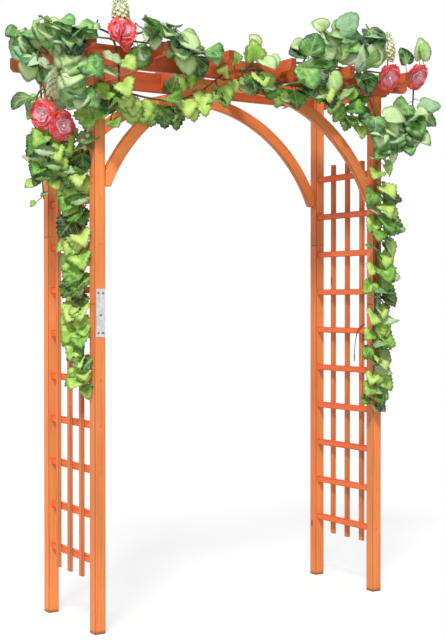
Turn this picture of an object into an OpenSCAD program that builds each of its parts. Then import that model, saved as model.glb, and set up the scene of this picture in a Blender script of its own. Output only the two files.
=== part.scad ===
// Garden pergola: a walk-through timber arch with trellis sides, dressed with climbing plants.
// Millimetres, +Z up, +X right along the span, +Y to the back.
// The origin is on the ground, in the middle of the path between the four posts.

/* [Posts] */
// Overall width across the outer faces of the posts
span_w = 1314; // [1200:2:1500]
// Overall depth across the outer faces of the posts
frame_d = 430; // [400:2:560]
// Side of a square post
post_side = 42; // [42:1:54]
// Height of the underside of the main beams
beam_z = 2032; // [2020:2:2120]
// Height of the joint in the two front posts
front_joint_z = 1181; // [1112:1:1190]
// Height of the joint in the two rear posts
rear_joint_z = 1436; // [1436:1:1505]
// Diameter of the dowel inside each post joint
dowel_d = 12; // [8:1:16]
// Length of the dowel inside each post joint
dowel_length = 70; // [50:2:72]

/* [Beams] */
// Height of a main beam
beam_h = 76; // [72:1:100]
// Thickness of a main beam
beam_t = 24; // [20:1:26]
// Length of a beam beyond the outer face of a post
beam_overhang = 138; // [134:1:170]
// Height of a beam at its tail
beam_tail_h = 52; // [48:1:60]
// Length of a beam's tail, from its end to the S-shaped step
beam_tail_run = 93; // [86:1:100]
// Length of the S-shaped step under each tail
tail_step = 22; // [18:1:28]
// Size of the cut at the lower corner of each tail
tail_cut = 13; // [6:1:18]

/* [Rafters] */
// Number of rafters
rafter_count = 6; // [6]
// Distance from a post's outer face to the middle of the end rafter
rafter_beyond_post = 53; // [46:1:60]
// Length of a rafter beyond the outer face of a beam
rafter_overhang = 102; // [96:1:120]
// Height of a rafter
rafter_h = 70; // [66:1:80]
// Thickness of a rafter
rafter_t = 22; // [18:1:26]
// Height by which a rafter stands above the beams
rafter_proud = 12; // [6:1:18]
// Height of a rafter at its tail
rafter_tail_h = 46; // [40:1:54]
// Length of a rafter's tail, from its end to the S-shaped step
rafter_tail_run = 64; // [50:1:68]
// Gap on each side of a cross-lap
lap_play = 0.2; // [0.1:0.1:0.5]

/* [Arches] */
// Width of the curved board
arch_band = 45; // [40:1:56]
// Thickness of the curved board
arch_t = 22; // [16:1:26]
// Depth by which the beam's underside cuts flat into the top of the arch
arch_seat = 6; // [4:1:9]
// Height of the foot of an arch
arch_foot_z = 1603; // [1585:1:1620]
// Width of the underside of the foot
arch_foot_w = 29; // [24:1:34]

/* [Trellis] */
// Number of horizontal rails on a side
rail_count = 10; // [10]
// Height of the middle of the top rail
rail_top_z = 1720; // [1716:1:1730]
// Spacing of the rails
rail_pitch = 162.5; // [161.5:0.5:163]
// Height of a rail
rail_h = 24; // [18:1:30]
// Thickness of a rail
rail_t = 22; // [18:1:24]
// Number of vertical slats on a side
slat_count = 3; // [3]
// Width of a slat
slat_w = 24; // [18:1:30]
// Thickness of a slat
slat_t = 12; // [8:1:14]
// Spacing of the slats
slat_pitch = 97; // [80:1:104]
// Length of a slat beyond the middle of the top rail
slat_above = 60; // [40:1:70]
// Length of a slat beyond the middle of the bottom rail
slat_below = 67; // [40:1:80]

/* [Hardware] */
// Width of a joint plate
plate_w = 36; // [32:1:38]
// Height of a joint plate
plate_h = 172; // [160:2:180]
// Thickness of a joint plate
plate_t = 2; // [1.5:0.1:3]
// Distance from the top of a plate down to the joint behind it
plate_above_joint = 54; // [50:1:60]
// Distance from a plate to the inner edge of its post
plate_edge = 1; // [0.5:0.5:4]
// Diameter of a wood screw's shank
screw_d = 4.5; // [3.5:0.1:5]
// Diameter of a wood screw's head
screw_head_d = 9; // [7:0.5:10]
// Length of the screws that hold a beam to a post
beam_screw_length = 38; // [30:1:40]
// Length of the screws that hold a rafter to a beam
rafter_screw_length = 58; // [50:1:60]
// Length of the screws that go through a post
post_screw_length = 62; // [58:1:66]
// Length of the screws that hold an arch up to a beam
seat_screw_length = 60; // [54:1:66]
// Length of the screws in a joint plate
plate_screw_length = 20; // [14:1:24]
// Diameter of a slat nail's shank
nail_d = 2.2; // [1.6:0.1:2.6]
// Diameter of a slat nail's head
nail_head_d = 4.6; // [3.6:0.1:6]
// Length of a slat nail
nail_length = 26; // [20:1:29]
// Gap round a screw, nail or dowel in its hole, on the radius
hole_play = 0.15; // [0.1:0.05:0.3]

/* [Plants] */
// Length of the blade of a broad leaf
broad_leaf = 112; // [90:1:125]
// Length of the blade of an ivy leaf
ivy_leaf = 82; // [60:1:95]
// Length of the blade of a young leaf on a tendril
young_leaf = 50; // [36:1:60]
// Thickness of a leaf and its stalk
leaf_t = 2; // [1.5:0.1:3]
// Length of a leaf's stalk
stalk_length = 34; // [24:1:45]
// Width of a leaf's stalk
stalk_w = 3; // [2.5:0.5:5]
// Diameter of a climbing stem
stem_d = 9; // [7:0.5:12]
// Diameter of an open flower
bloom_d = 104; // [85:1:120]
// Length of a flower spike
spike_length = 120; // [90:1:140]
// Diameter of a flower spike at its widest
spike_d = 64; // [50:1:75]
// Length of the stalk of a flower or a spike
flower_stalk = 40; // [30:1:50]

/* [Hidden] */
SIDES = ["left", "right"];
ROWS = ["front", "rear"];
HALVES = ["lower", "upper"];
SLATS = ["front", "middle", "rear"];

half_w = span_w / 2;
half_d = frame_d / 2;
beam_top = beam_z + beam_h;
beam_half = half_w + beam_overhang;
rafter_half = half_d + rafter_overhang;
rafter_top = beam_top + rafter_proud;
rafter_z = rafter_top - rafter_h;
lap = (beam_top - rafter_z) / 2;
rafter_pitch = 2 * (half_w + rafter_beyond_post) / (rafter_count - 1);
post_in = half_w - post_side;
post_mid = half_w - post_side / 2;
row_mid = half_d - post_side / 2;
// The inner curve of an arch passes through its crown and the inner corner of its foot.
crown_z = beam_z + arch_seat - arch_band;
arch_rise = crown_z - arch_foot_z;
foot_x = post_in - arch_foot_w;
arch_r = (foot_x * foot_x + arch_rise * arch_rise) / (2 * arch_rise);
arch_cz = crown_z - arch_r;
rail_x = half_w - slat_t - rail_t / 2;
slat_z = rail_top_z - (rail_count - 1) * rail_pitch - slat_below;
slat_length = rail_top_z + slat_above - slat_z;
screw_head_h = (screw_head_d - screw_d) / 2;
nail_head_h = 1;
plate_x = post_in + plate_edge + plate_w / 2;
plate_screw_x = 9;
plate_screw_margin = 15;
beam_screw_z = 18;
foot_screw_z = [10, 32];
seat_screw_x = 45;
seat_y = half_d - (beam_t + (post_side - arch_t) / 2) / 2;
cut_past = 1;
pocket_past = 4;
curve_facets = 48;
board_facets = 160;

timber = [0.93, 0.50, 0.29];
timber_light = [0.96, 0.57, 0.36];
zinc = [0.80, 0.80, 0.79];
leaf_green = [0.38, 0.62, 0.22];
ivy_green = [0.30, 0.55, 0.16];
coral = [0.90, 0.32, 0.34];
cream = [0.80, 0.84, 0.52];

function rail_z(i) = rail_top_z - (i - 1) * rail_pitch;
function rafter_x(i) = (i - (rafter_count + 1) / 2) * rafter_pitch;
function slat_y(j) = (j - 1) * slat_pitch;
function joint_z(row) = row == "front" ? front_joint_z : rear_joint_z;
function unit(v) = v / norm(v);

// Copies of what is drawn at the front left, mirrored to a side and a row
module at_side(side) {
    if (side == "right") mirror([1, 0, 0]) children();
    else children();
}
module at_row(row) {
    if (row == "rear") mirror([0, 1, 0]) children();
    else children();
}
module at_corner(side, row) { at_side(side) at_row(row) children(); }

// Fasteners stand on the origin with the head's face down and point along +Z
module wood_screw(length) {
    rotate_extrude($fn = curve_facets)
        polygon([[0, 0], [screw_head_d / 2, 0], [screw_d / 2, screw_head_h], [screw_d / 2, length], [0, length]]);
}
module screw_hole(length, past = cut_past) {
    head_r = screw_head_d / 2 + hole_play;
    shank_r = screw_d / 2 + hole_play;
    rotate_extrude($fn = curve_facets)
        polygon([[0, -past], [head_r, -past], [head_r, 0], [shank_r, screw_head_h],
                 [shank_r, length + hole_play], [0, length + hole_play]]);
}
module nail() {
    cylinder(d = nail_head_d, h = nail_head_h, $fn = curve_facets);
    cylinder(d = nail_d, h = nail_length, $fn = curve_facets);
}
module nail_hole() {
    translate([0, 0, -cut_past])
        cylinder(d = nail_head_d + 2 * hole_play, h = cut_past + nail_head_h, $fn = curve_facets);
    cylinder(d = nail_d + 2 * hole_play, h = nail_length + hole_play, $fn = curve_facets);
}

// Places of the fasteners at the front left corner
module at_rail_screws() {
    for (i = [1 : rail_count]) translate([-rail_x, -half_d, rail_z(i)]) rotate([-90, 0, 0]) children();
}
module at_foot_screws() {
    for (up = foot_screw_z) translate([-half_w, -row_mid, arch_foot_z + up]) rotate([0, 90, 0]) children();
}
module at_beam_screws() {
    for (up = [-beam_screw_z, beam_screw_z])
        translate([-post_mid, -half_d, beam_z + beam_h / 2 + up]) rotate([-90, 0, 0]) children();
}
module at_seat_screw() {
    translate([-seat_screw_x, -seat_y, arch_cz + sqrt(arch_r * arch_r - seat_screw_x * seat_screw_x) + cut_past])
        children();
}
module at_rafter_screws() {
    for (i = [1 : rafter_count])
        translate([rafter_x(i), -half_d + beam_t / 2, rafter_top]) rotate([180, 0, 0]) children();
}
module at_slat_nails() {
    for (i = [1 : rail_count], j = [0 : slat_count - 1])
        translate([-half_w, slat_y(j), rail_z(i)]) rotate([0, 90, 0]) children();
}
module at_plate_screws(row) {
    top = joint_z(row) + plate_above_joint;
    for (spot = [[-plate_screw_x, top - plate_screw_margin], [plate_screw_x, top - plate_screw_margin],
                 [0, top - plate_h / 2 - plate_screw_margin / 2],
                 [-plate_screw_x, top - plate_h + plate_screw_margin],
                 [plate_screw_x, top - plate_h + plate_screw_margin]])
        translate([-plate_x + spot[0], -half_d - plate_t, spot[1]]) rotate([-90, 0, 0]) children();
}

module dowel_at(row, play = 0) {
    translate([-post_mid, -row_mid, joint_z(row) - dowel_length / 2 - play])
        cylinder(d = dowel_d + 2 * play, h = dowel_length + 2 * play, $fn = curve_facets);
}

// A square post in two sections. Its head is cut back by the beam's thickness, and the tongue
// that is left stands behind the beam.
module post(row, side, half) {
    from = half == "lower" ? 0 : joint_z(row);
    to = half == "lower" ? joint_z(row) : beam_top;
    color(timber_light) at_corner(side, row) difference() {
        translate([-half_w, -half_d, from]) cube([post_side, post_side, to - from]);
        if (half == "upper")
            translate([-half_w - cut_past, -half_d - cut_past, beam_z])
                cube([post_side + 2 * cut_past, beam_t + cut_past, beam_h + cut_past]);
        at_rail_screws() screw_hole(post_screw_length);
        at_plate_screws(row) screw_hole(plate_screw_length);
        dowel_at(row, hole_play);
        if (half == "upper") {
            at_foot_screws() screw_hole(post_screw_length);
            at_beam_screws() screw_hole(beam_screw_length);
        }
    }
}

// Half of a board's lower edge, from the start of the S-shaped step out to the top of the tail
function tail(half_length, board_h, tail_h, run) = let (up = board_h - tail_h) concat(
    [for (t = [0 : 0.125 : 1]) [half_length - run - tail_step * (1 - t), up * (1 - cos(180 * t)) / 2]],
    [[half_length - tail_cut, up], [half_length, up + tail_cut], [half_length, board_h]]
);
module board_outline(half_length, board_h, tail_h, run) {
    right = tail(half_length, board_h, tail_h, run);
    left = [for (i = [len(right) - 1 : -1 : 0]) [-right[i][0], right[i][1]]];
    polygon(concat(right, left));
}

module beam(row) {
    color(timber) at_row(row) difference() {
        translate([0, -half_d + beam_t, beam_z]) rotate([90, 0, 0]) linear_extrude(beam_t)
            board_outline(beam_half, beam_h, beam_tail_h, beam_tail_run);
        for (i = [1 : rafter_count])
            translate([rafter_x(i) - rafter_t / 2 - lap_play, -half_d - cut_past, beam_top - lap])
                cube([rafter_t + 2 * lap_play, beam_t + 2 * cut_past, lap + cut_past]);
        for (side = SIDES) at_side(side) {
            at_beam_screws() screw_hole(beam_screw_length);
            at_seat_screw() screw_hole(seat_screw_length);
        }
        at_rafter_screws() screw_hole(rafter_screw_length);
    }
}

// A rafter is notched from below, halfway through the cross-lap, over each beam.
module rafter(i) {
    color(timber) difference() {
        translate([rafter_x(i) - rafter_t / 2, 0, rafter_z]) rotate([90, 0, 90]) linear_extrude(rafter_t)
            board_outline(rafter_half, rafter_h, rafter_tail_h, rafter_tail_run);
        for (row = ROWS) at_row(row) {
            translate([rafter_x(i) - rafter_t / 2 - cut_past, -half_d - lap_play, rafter_z - cut_past])
                cube([rafter_t + 2 * cut_past, beam_t + 2 * lap_play, lap + cut_past]);
            at_rafter_screws() screw_hole(rafter_screw_length);
        }
    }
}

// Half an arch: a curved board from its foot against the post to its crown under the beam
module arch(row, side) {
    color(timber) at_corner(side, row) difference() {
        translate([0, -row_mid + arch_t / 2, 0]) rotate([90, 0, 0]) linear_extrude(arch_t) intersection() {
            translate([0, arch_cz]) difference() {
                circle(arch_r + arch_band, $fn = board_facets);
                circle(arch_r, $fn = board_facets);
            }
            translate([-post_in, arch_foot_z]) square([post_in, beam_z - arch_foot_z]);
        }
        at_foot_screws() screw_hole(post_screw_length);
        at_seat_screw() screw_hole(seat_screw_length, pocket_past);
    }
}

module rail(side, i) {
    color(timber) at_side(side) difference() {
        translate([-rail_x - rail_t / 2, -half_d + post_side, rail_z(i) - rail_h / 2])
            cube([rail_t, frame_d - 2 * post_side, rail_h]);
        for (row = ROWS) at_row(row) at_rail_screws() screw_hole(post_screw_length);
        at_slat_nails() nail_hole();
    }
}

module slat(side, j) {
    color(timber_light) at_side(side) difference() {
        translate([-half_w, slat_y(j) - slat_w / 2, slat_z]) cube([slat_t, slat_w, slat_length]);
        at_slat_nails() nail_hole();
    }
}

module post_dowels() {
    color(timber_light) for (side = SIDES, row = ROWS) at_corner(side, row) dowel_at(row);
}

module joint_plates() {
    color(zinc) for (side = SIDES, row = ROWS) at_corner(side, row) difference() {
        translate([-plate_x - plate_w / 2, -half_d - plate_t, joint_z(row) + plate_above_joint - plate_h])
            cube([plate_w, plate_t, plate_h]);
        at_plate_screws(row) screw_hole(plate_screw_length);
    }
}

module plate_screws() {
    color(zinc) for (side = SIDES, row = ROWS) at_corner(side, row)
        at_plate_screws(row) wood_screw(plate_screw_length);
}

module roof_screws() {
    color(zinc) for (row = ROWS) at_row(row) {
        for (side = SIDES) at_side(side) at_beam_screws() wood_screw(beam_screw_length);
        at_rafter_screws() wood_screw(rafter_screw_length);
    }
}

module arch_screws() {
    color(zinc) for (side = SIDES, row = ROWS) at_corner(side, row) {
        at_foot_screws() wood_screw(post_screw_length);
        at_seat_screw() wood_screw(seat_screw_length);
    }
}

module rail_screws() {
    color(zinc) for (side = SIDES, row = ROWS) at_corner(side, row)
        at_rail_screws() wood_screw(post_screw_length);
}

module slat_nails() {
    color(zinc) for (side = SIDES) at_side(side) at_slat_nails() nail();
}

// Plants. Each stem is a route of points chosen by hand, and its leaves follow from the route.
stem_r = stem_d / 2;
stem_sides = 8;
seat_gap = 0.3;
leaf_gap = 0.2;
on_rafters = rafter_top + stem_r + seat_gap;
on_front = -half_d - stem_r - seat_gap;
on_plate = on_front - plate_t;
on_trellis = half_w + stem_r + seat_gap;
stem_reference = [0.31, 0.87, 0.38];
stalk_root = 1;

// A value from 0 to 1 that jumps about from one whole number to the next
function vary(n) = (n * 0.618) % 1;
function spot(route, t) = let (
    reach = t * (len(route) - 1),
    k = min(floor(reach), len(route) - 2)
) route[k] + (route[k + 1] - route[k]) * (reach - k);
function heading(route, t) = let (k = min(floor(t * (len(route) - 1)), len(route) - 2))
    unit(route[k + 1] - route[k]);

module stem(route) {
    n = len(route);
    rings = [for (k = [0 : n - 1]) let (
        along = unit(route[min(k + 1, n - 1)] - route[max(k - 1, 0)]),
        a = unit(cross(stem_reference, along)),
        b = cross(along, a)
    ) for (j = [0 : stem_sides - 1])
        route[k] + stem_r * (a * cos(360 * j / stem_sides) + b * sin(360 * j / stem_sides))];
    sides = [for (k = [0 : n - 2], j = [0 : stem_sides - 1]) let (
        here = k * stem_sides + j,
        next = k * stem_sides + (j + 1) % stem_sides
    ) each [[here, next, next + stem_sides], [here, next + stem_sides, here + stem_sides]]];
    ends = [for (j = [1 : stem_sides - 2])
        each [[0, j + 1, j], [(n - 1) * stem_sides, (n - 1) * stem_sides + j, (n - 1) * stem_sides + j + 1]]];
    polyhedron(points = rings, faces = [for (f = concat(sides, ends)) [f[2], f[1], f[0]]]);
}

// Right half of a blade, in shares of its length, from beside the stalk up to the tip
IVY = [[0.14, -0.12], [0.42, -0.05], [0.36, 0.18], [0.58, 0.44], [0.30, 0.54], [0.20, 0.76]];
HEART = [[0.13, -0.11], [0.35, -0.06], [0.48, 0.16], [0.44, 0.44], [0.25, 0.76]];

module leaf(blade, length) {
    right = [for (p = blade) [p[0] * length, stalk_length + p[1] * length]];
    left = [for (i = [len(right) - 1 : -1 : 0]) [-right[i][0], right[i][1]]];
    translate([0, 0, -leaf_t / 2]) linear_extrude(leaf_t)
        polygon(concat([[stalk_w / 2, 0], [stalk_w / 2, stalk_length]], right,
                       [[0, stalk_length + length]], left,
                       [[-stalk_w / 2, stalk_length], [-stalk_w / 2, 0]]));
}

// Whether a point lies inside a rafter or a beam
function in_rafter(p) = p[2] > rafter_z && p[2] < rafter_top && abs(p[1]) < rafter_half
    && min([for (i = [1 : rafter_count]) abs(p[0] - rafter_x(i))]) < rafter_t / 2 + leaf_t;
function in_beam(p) = p[2] > beam_z && p[2] < beam_top && abs(p[0]) < beam_half
    && abs(p[1]) < half_d && abs(p[1]) > half_d - beam_t;
// The points of a leaf's grid that lie inside the roof
function blocked(start, midrib, wide, size) = [
    for (s = [0 : 0.1 : 1], w = [-0.5 : 0.125 : 0.5])
        let (p = start + (midrib * s + wide * w) * size) if (in_rafter(p) || in_beam(p)) p
];

// Leaves along a stem, past its bare first share. They stand away from the timber on alternate
// sides, lean by spread degrees, hang by droop, and their faces look outwards and a little up.
// A leaf that would grow through the roof is left out.
module leaves(route, count, blade, length, outward, spread, droop, seed, bare) {
    for (i = [0 : count - 1]) {
        t = bare + (1 - bare) * (i + 0.7) / count;
        along = heading(route, t);
        away = unit(outward - (outward * along) * along);
        across = cross(along, away);
        lean = (i % 2 == 0 ? 1 : -1) * spread * (0.45 + 0.55 * vary(seed + i));
        midrib = unit(away * cos(lean) + across * sin(lean) - [0, 0, droop * (0.4 + vary(seed + i + 50))]);
        look = away + [0, 0, 0.55] + across * 0.5 * (vary(seed + i + 90) - 0.5);
        face = unit(look - (look * midrib) * midrib);
        wide = cross(midrib, face);
        root = unit(midrib - (midrib * along) * along);
        base = spot(route, t) + root * (stem_r + leaf_gap);
        size = length * (0.72 + 0.28 * vary(seed + i + 20)) * (1 - 0.35 * t * t * t);
        if (len(blocked(base + midrib * stalk_length, midrib, wide, size)) == 0)
            multmatrix([[wide[0], midrib[0], face[0], base[0]],
                        [wide[1], midrib[1], face[1], base[1]],
                        [wide[2], midrib[2], face[2], base[2]]]) leaf(blade, size);
    }
}

module vine(route, count, blade, length, outward, spread, droop, seed, bare = 0) {
    stem(route);
    leaves(route, count, blade, length, outward, spread, droop, seed, bare);
}

// Flowers and spikes stand on the origin and point along +Z
module bloom() {
    r = bloom_d / 2;
    cylinder(d = stalk_w, h = flower_stalk, $fn = curve_facets);
    translate([0, 0, flower_stalk - stalk_root]) rotate_extrude($fn = curve_facets)
        polygon([[0, 0], [0.16 * r, 0], [0.34 * r, 0.22 * r], [0.70 * r, 0.44 * r], [r, 0.52 * r],
                 [r, 0.58 * r], [0.68 * r, 0.51 * r], [0.28 * r, 0.34 * r], [0.10 * r, 0.28 * r],
                 [0.08 * r, 0.80 * r], [0, 0.80 * r]]);
}
module spike() {
    cylinder(d = stalk_w, h = flower_stalk, $fn = curve_facets);
    translate([0, 0, flower_stalk - stalk_root]) rotate_extrude($fn = curve_facets)
        polygon(concat([[0, 0]], [for (t = [0.04 : 0.08 : 0.92])
            [spike_d / 2 * pow(sin(180 * pow(t, 0.75)), 0.7), spike_length * t]], [[0, spike_length]]));
}
// Whatever stands on a stem at a share t of its route and points along a direction
module on_stem(route, t, direction) {
    along = heading(route, t);
    root = unit(direction - (direction * along) * along);
    base = spot(route, t) + root * (stem_r + leaf_gap);
    tilt = acos(direction[2] / norm(direction));
    translate(base) rotate([0, tilt, atan2(direction[1], direction[0])]) children();
}

// Routes start from the timber: the bays and end rafters along the span, the front of the frame,
// the inner faces of the posts, and the heights of the beams, rafters and rails.
end_x = half_w + rafter_beyond_post;
bay = rafter_pitch;
front = -half_d;

// Routes over the left end of the roof
left_over = [[-bay / 2 + 42, front - 21, on_rafters], [-1.5 * bay + 166, front - 17, on_rafters],
             [-1.5 * bay, front - 25, on_rafters], [-2 * bay, front - 21, on_rafters],
             [-end_x, front - 25, on_rafters], [-end_x - 90, front - 25, rafter_top + 22],
             [-end_x - 174, front - 25, rafter_top + 52]];
left_front = [[-post_in + 9, front - 21, on_rafters], [-post_in + 15, front - 41, beam_top + 2],
              [-post_in + 27, front - 47, beam_z + 18], [-post_in + 31, front - 47, beam_z - 62],
              [-post_in + 19, front - 39, beam_z - 142], [-post_in + 3, front - 31, beam_z - 202]];
left_side = [[-end_x + 10, 40, on_rafters], [-end_x - 40, 20, on_rafters], [-end_x - 74, -10, beam_z + 48],
             [-end_x - 76, -50, beam_z - 42], [-end_x - 62, -80, beam_z - 132],
             [-end_x - 46, -95, beam_z - 212]];
left_tendril = [[-end_x - 75, -30, beam_z + 3], [-end_x - 70, -36, beam_z - 132],
                [-end_x - 78, -44, beam_z - 252], [-end_x - 76, -52, beam_z - 372],
                [-end_x - 72, -58, beam_z - 472]];
left_rear = [[-1.5 * bay + 26, half_d + 29, on_rafters], [-1.5 * bay - 94, half_d + 25, on_rafters],
             [-end_x + 70, half_d + 47, rafter_top + 12], [-end_x + 26, half_d + 107, rafter_top + 4]];

module plant_left_top() {
    color(leaf_green) {
        vine(left_over, 23, HEART, broad_leaf, [-0.2, -1, 0.1], 75, 0.6, 6);
        vine(left_front, 10, IVY, broad_leaf, [-0.45, -1, 0.1], 60, 0.4, 32);
        vine(left_side, 14, HEART, broad_leaf, [-0.8, -0.8, 0.1], 65, 0.45, 47, 0.3);
        vine(left_tendril, 9, IVY, young_leaf, [-0.9, -0.6, 0.1], 75, 0.8, 53, 0.2);
        vine(left_rear, 8, HEART, broad_leaf, [-0.3, 0.9, 0.1], 65, 0.2, 63);
    }
}

// Routes over the right end of the roof
right_over = [[bay / 2 + 68, front - 9, on_rafters], [1.5 * bay - 106, front - 21, on_rafters],
              [1.5 * bay, front - 25, on_rafters], [2 * bay, front - 21, on_rafters],
              [end_x, front - 25, on_rafters], [end_x + 90, front - 25, rafter_top + 26],
              [end_x + 162, front - 25, rafter_top + 60]];
right_up = [[1.5 * bay, front + 35, on_rafters], [1.5 * bay - 8, front + 15, rafter_top + 70],
            [1.5 * bay - 24, front + 3, rafter_top + 146]];
right_up_far = [[2 * bay, front + 55, on_rafters], [2 * bay + 20, front + 15, rafter_top + 65],
                [2 * bay + 34, front - 1, rafter_top + 130]];
right_up_near = [[bay, front + 45, on_rafters], [bay + 4, front + 23, rafter_top + 40],
                 [bay + 8, front + 9, rafter_top + 80]];
right_front = [[post_in - 115, front - 21, on_rafters], [post_in - 107, front - 47, beam_top + 2],
               [post_in - 85, front - 53, beam_z + 18], [post_in - 43, front - 49, beam_z - 62],
               [post_in - 3, front - 37, beam_z - 132], [post_in + 35, front - 25, beam_z - 212]];
right_side = [[end_x + 80, front - 25, rafter_top + 21], [end_x + 86, front - 37, beam_z + 48],
              [end_x + 80, front - 39, beam_z - 32], [end_x + 62, front - 35, beam_z - 112],
              [end_x + 48, front - 31, beam_z - 182]];
right_rear = [[1.5 * bay - 26, half_d + 29, on_rafters], [1.5 * bay + 94, half_d + 25, on_rafters],
              [end_x - 70, half_d + 47, rafter_top + 12], [end_x - 26, half_d + 107, rafter_top + 4]];

module plant_right_top() {
    color(leaf_green) {
        vine(right_over, 20, HEART, broad_leaf, [0.05, -0.95, 0.3], 75, 0.1, 106);
        vine(right_up_near, 4, HEART, broad_leaf, [-0.2, -0.9, 0.4], 80, 0, 127, 0.45);
        vine(right_up, 6, HEART, broad_leaf, [-0.2, -0.9, 0.4], 80, 0, 131, 0.4);
        vine(right_up_far, 5, HEART, broad_leaf, [0.2, -0.9, 0.4], 80, 0, 137, 0.4);
        vine(right_front, 11, HEART, broad_leaf, [-0.1, -1, 0.1], 75, 0.35, 141);
        vine(right_side, 9, HEART, broad_leaf, [0.2, -1, 0.1], 75, 0.35, 157);
        vine(right_rear, 8, HEART, broad_leaf, [0.3, 0.9, 0.3], 65, 0.2, 162);
    }
}

// The garland climbs from the left post along the arch to the beam, runs on to the right and hangs.
garland_left = [[-post_mid - 4, on_front, beam_z - 57], [-post_in + 55, front - 9, beam_z - 84],
                [-post_in + 175, front - 7, beam_z - 102], [-post_in + 290, on_front, beam_z - 100],
                [-post_in + 398, on_front, beam_z - 56], [-post_in + 508, on_front, beam_z + 20],
                [0, on_front, beam_z + 56]];
garland_right = [[-40, on_front, beam_z + 40], [50, on_front, beam_z + 52], [118, on_front, beam_z + 9],
                 [200, on_front, beam_z + 9], [300, on_front, beam_z + 20],
                 [post_in - 215, on_front, beam_z + 8], [post_in - 175, front - 9, beam_z - 42],
                 [post_in - 115, front - 11, beam_z - 92], [post_in - 55, front - 9, beam_z - 132]];
garland_over = [[0, on_front, beam_z + 56], [26, front - 17, beam_z + 94], [64, front - 23, beam_z + 118]];

module plant_garland() {
    color(ivy_green) {
        vine(garland_left, 22, IVY, ivy_leaf, [0, -1, 0.1], 80, 0.4, 208);
        vine(garland_right, 22, IVY, ivy_leaf, [0, -1, 0.1], 80, 0.4, 233);
        vine(garland_over, 3, HEART, ivy_leaf, [0, -1, 0.3], 80, 0, 251, 0.4);
    }
}

trail_left = [[-on_trellis, front + 23, beam_z - 72], [-on_trellis, front + 55, rail_top_z + 100],
              [-on_trellis, front + 103, rail_top_z - 30], [-on_trellis, front + 119, rail_top_z - 160],
              [-on_trellis, front + 103, rail_top_z - 308], [-on_trellis, front + 118, rail_top_z - 452],
              [-on_trellis, front + 99, rail_top_z - 596], [-on_trellis, front + 83, rail_top_z - 730],
              [-on_trellis, front + 65, rail_top_z - 820]];

module plant_trail_left() {
    color(ivy_green) vine(trail_left, 34, IVY, ivy_leaf, [-1, -0.12, 0.1], 75, 0.7, 308);
}

trail_right = [[post_mid, on_plate, beam_z - 192], [post_mid - 14, on_plate, beam_z - 388],
               [post_mid + 4, on_plate, beam_z - 508], [post_mid - 11, on_plate, beam_z - 671],
               [post_mid - 16, on_plate, beam_z - 834], [post_mid - 28, on_plate, beam_z - 997],
               [post_mid - 24, on_plate, beam_z - 1132], [post_mid - 46, on_plate, beam_z - 1242]];

module plant_trail_right() {
    color(ivy_green) vine(trail_right, 34, IVY, ivy_leaf, [-0.1, -1, 0.1], 75, 0.7, 403);
}

module plant_blooms() {
    color(coral) {
        on_stem(left_side, 0.9, [-0.9, -0.5, -0.1]) bloom();
        on_stem(left_side, 0.99, [0.1, -1, -0.2]) bloom();
        on_stem(left_over, 0.50, [-0.3, -0.9, 0.4]) bloom();
        on_stem(left_over, 0.54, [0.6, -0.8, 0]) bloom();
        on_stem(right_over, 0.58, [-0.05, -0.9, -0.5]) bloom();
        on_stem(right_over, 0.8, [0, -0.9, -0.5]) bloom();
    }
}

module plant_spikes() {
    color(cream) {
        on_stem(left_side, 0.84, [0, -0.5, 0.85]) spike();
        on_stem(left_over, 0.49, [-0.1, -0.1, 1]) spike();
        on_stem(right_over, 0.62, [-0.1, -0.1, 1]) spike();
    }
}

for (row = ROWS, side = SIDES, half = HALVES)
    post(row, side, half);
for (row = ROWS) beam(row);
for (i = [1 : rafter_count]) rafter(i);
for (row = ROWS, side = SIDES) arch(row, side);
for (side = SIDES, i = [1 : rail_count])
    rail(side, i);
for (side = SIDES, j = [0 : slat_count - 1])
    slat(side, j);
post_dowels();
joint_plates();
plate_screws();
roof_screws();
arch_screws();
rail_screws();
slat_nails();
plant_left_top();
plant_right_top();
plant_garland();
plant_trail_left();
plant_trail_right();
plant_blooms();
plant_spikes();
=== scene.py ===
# %% [markdown]
# # A garden pergola dressed with climbing plants
# The real object is a walk-through arch of stained softwood: four posts, two beams, six rafters,
# two curved braces and a trellis on each side, with leafy garlands and flowers hung over it. The
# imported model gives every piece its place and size. This lesson gives each one its surface.

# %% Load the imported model
import math
import bpy
import numpy as np
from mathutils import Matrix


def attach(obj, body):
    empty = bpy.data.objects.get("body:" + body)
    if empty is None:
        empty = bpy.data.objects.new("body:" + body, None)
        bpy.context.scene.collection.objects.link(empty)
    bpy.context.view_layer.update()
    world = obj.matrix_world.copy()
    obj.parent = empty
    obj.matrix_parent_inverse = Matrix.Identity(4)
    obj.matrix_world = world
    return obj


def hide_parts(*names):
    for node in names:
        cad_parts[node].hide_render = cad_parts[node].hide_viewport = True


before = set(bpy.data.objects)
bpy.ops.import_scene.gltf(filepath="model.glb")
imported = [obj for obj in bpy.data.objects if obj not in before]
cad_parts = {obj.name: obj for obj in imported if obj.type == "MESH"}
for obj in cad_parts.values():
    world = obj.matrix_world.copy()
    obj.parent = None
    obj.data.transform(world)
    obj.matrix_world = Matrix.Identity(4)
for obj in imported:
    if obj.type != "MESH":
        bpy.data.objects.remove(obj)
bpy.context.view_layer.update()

# %% [markdown]
# ## The camera
# The photograph was taken from the front left, a little over a metre above the ground, with a long
# lens. Where the edges of the posts and rails fall in it gives the lens and the place.

# %% Camera
def new_object(name, data):
    """An object that holds the data, in the scene and at the origin."""
    thing = bpy.data.objects.new(name, data)
    bpy.context.scene.collection.objects.link(thing)
    return thing


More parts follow.
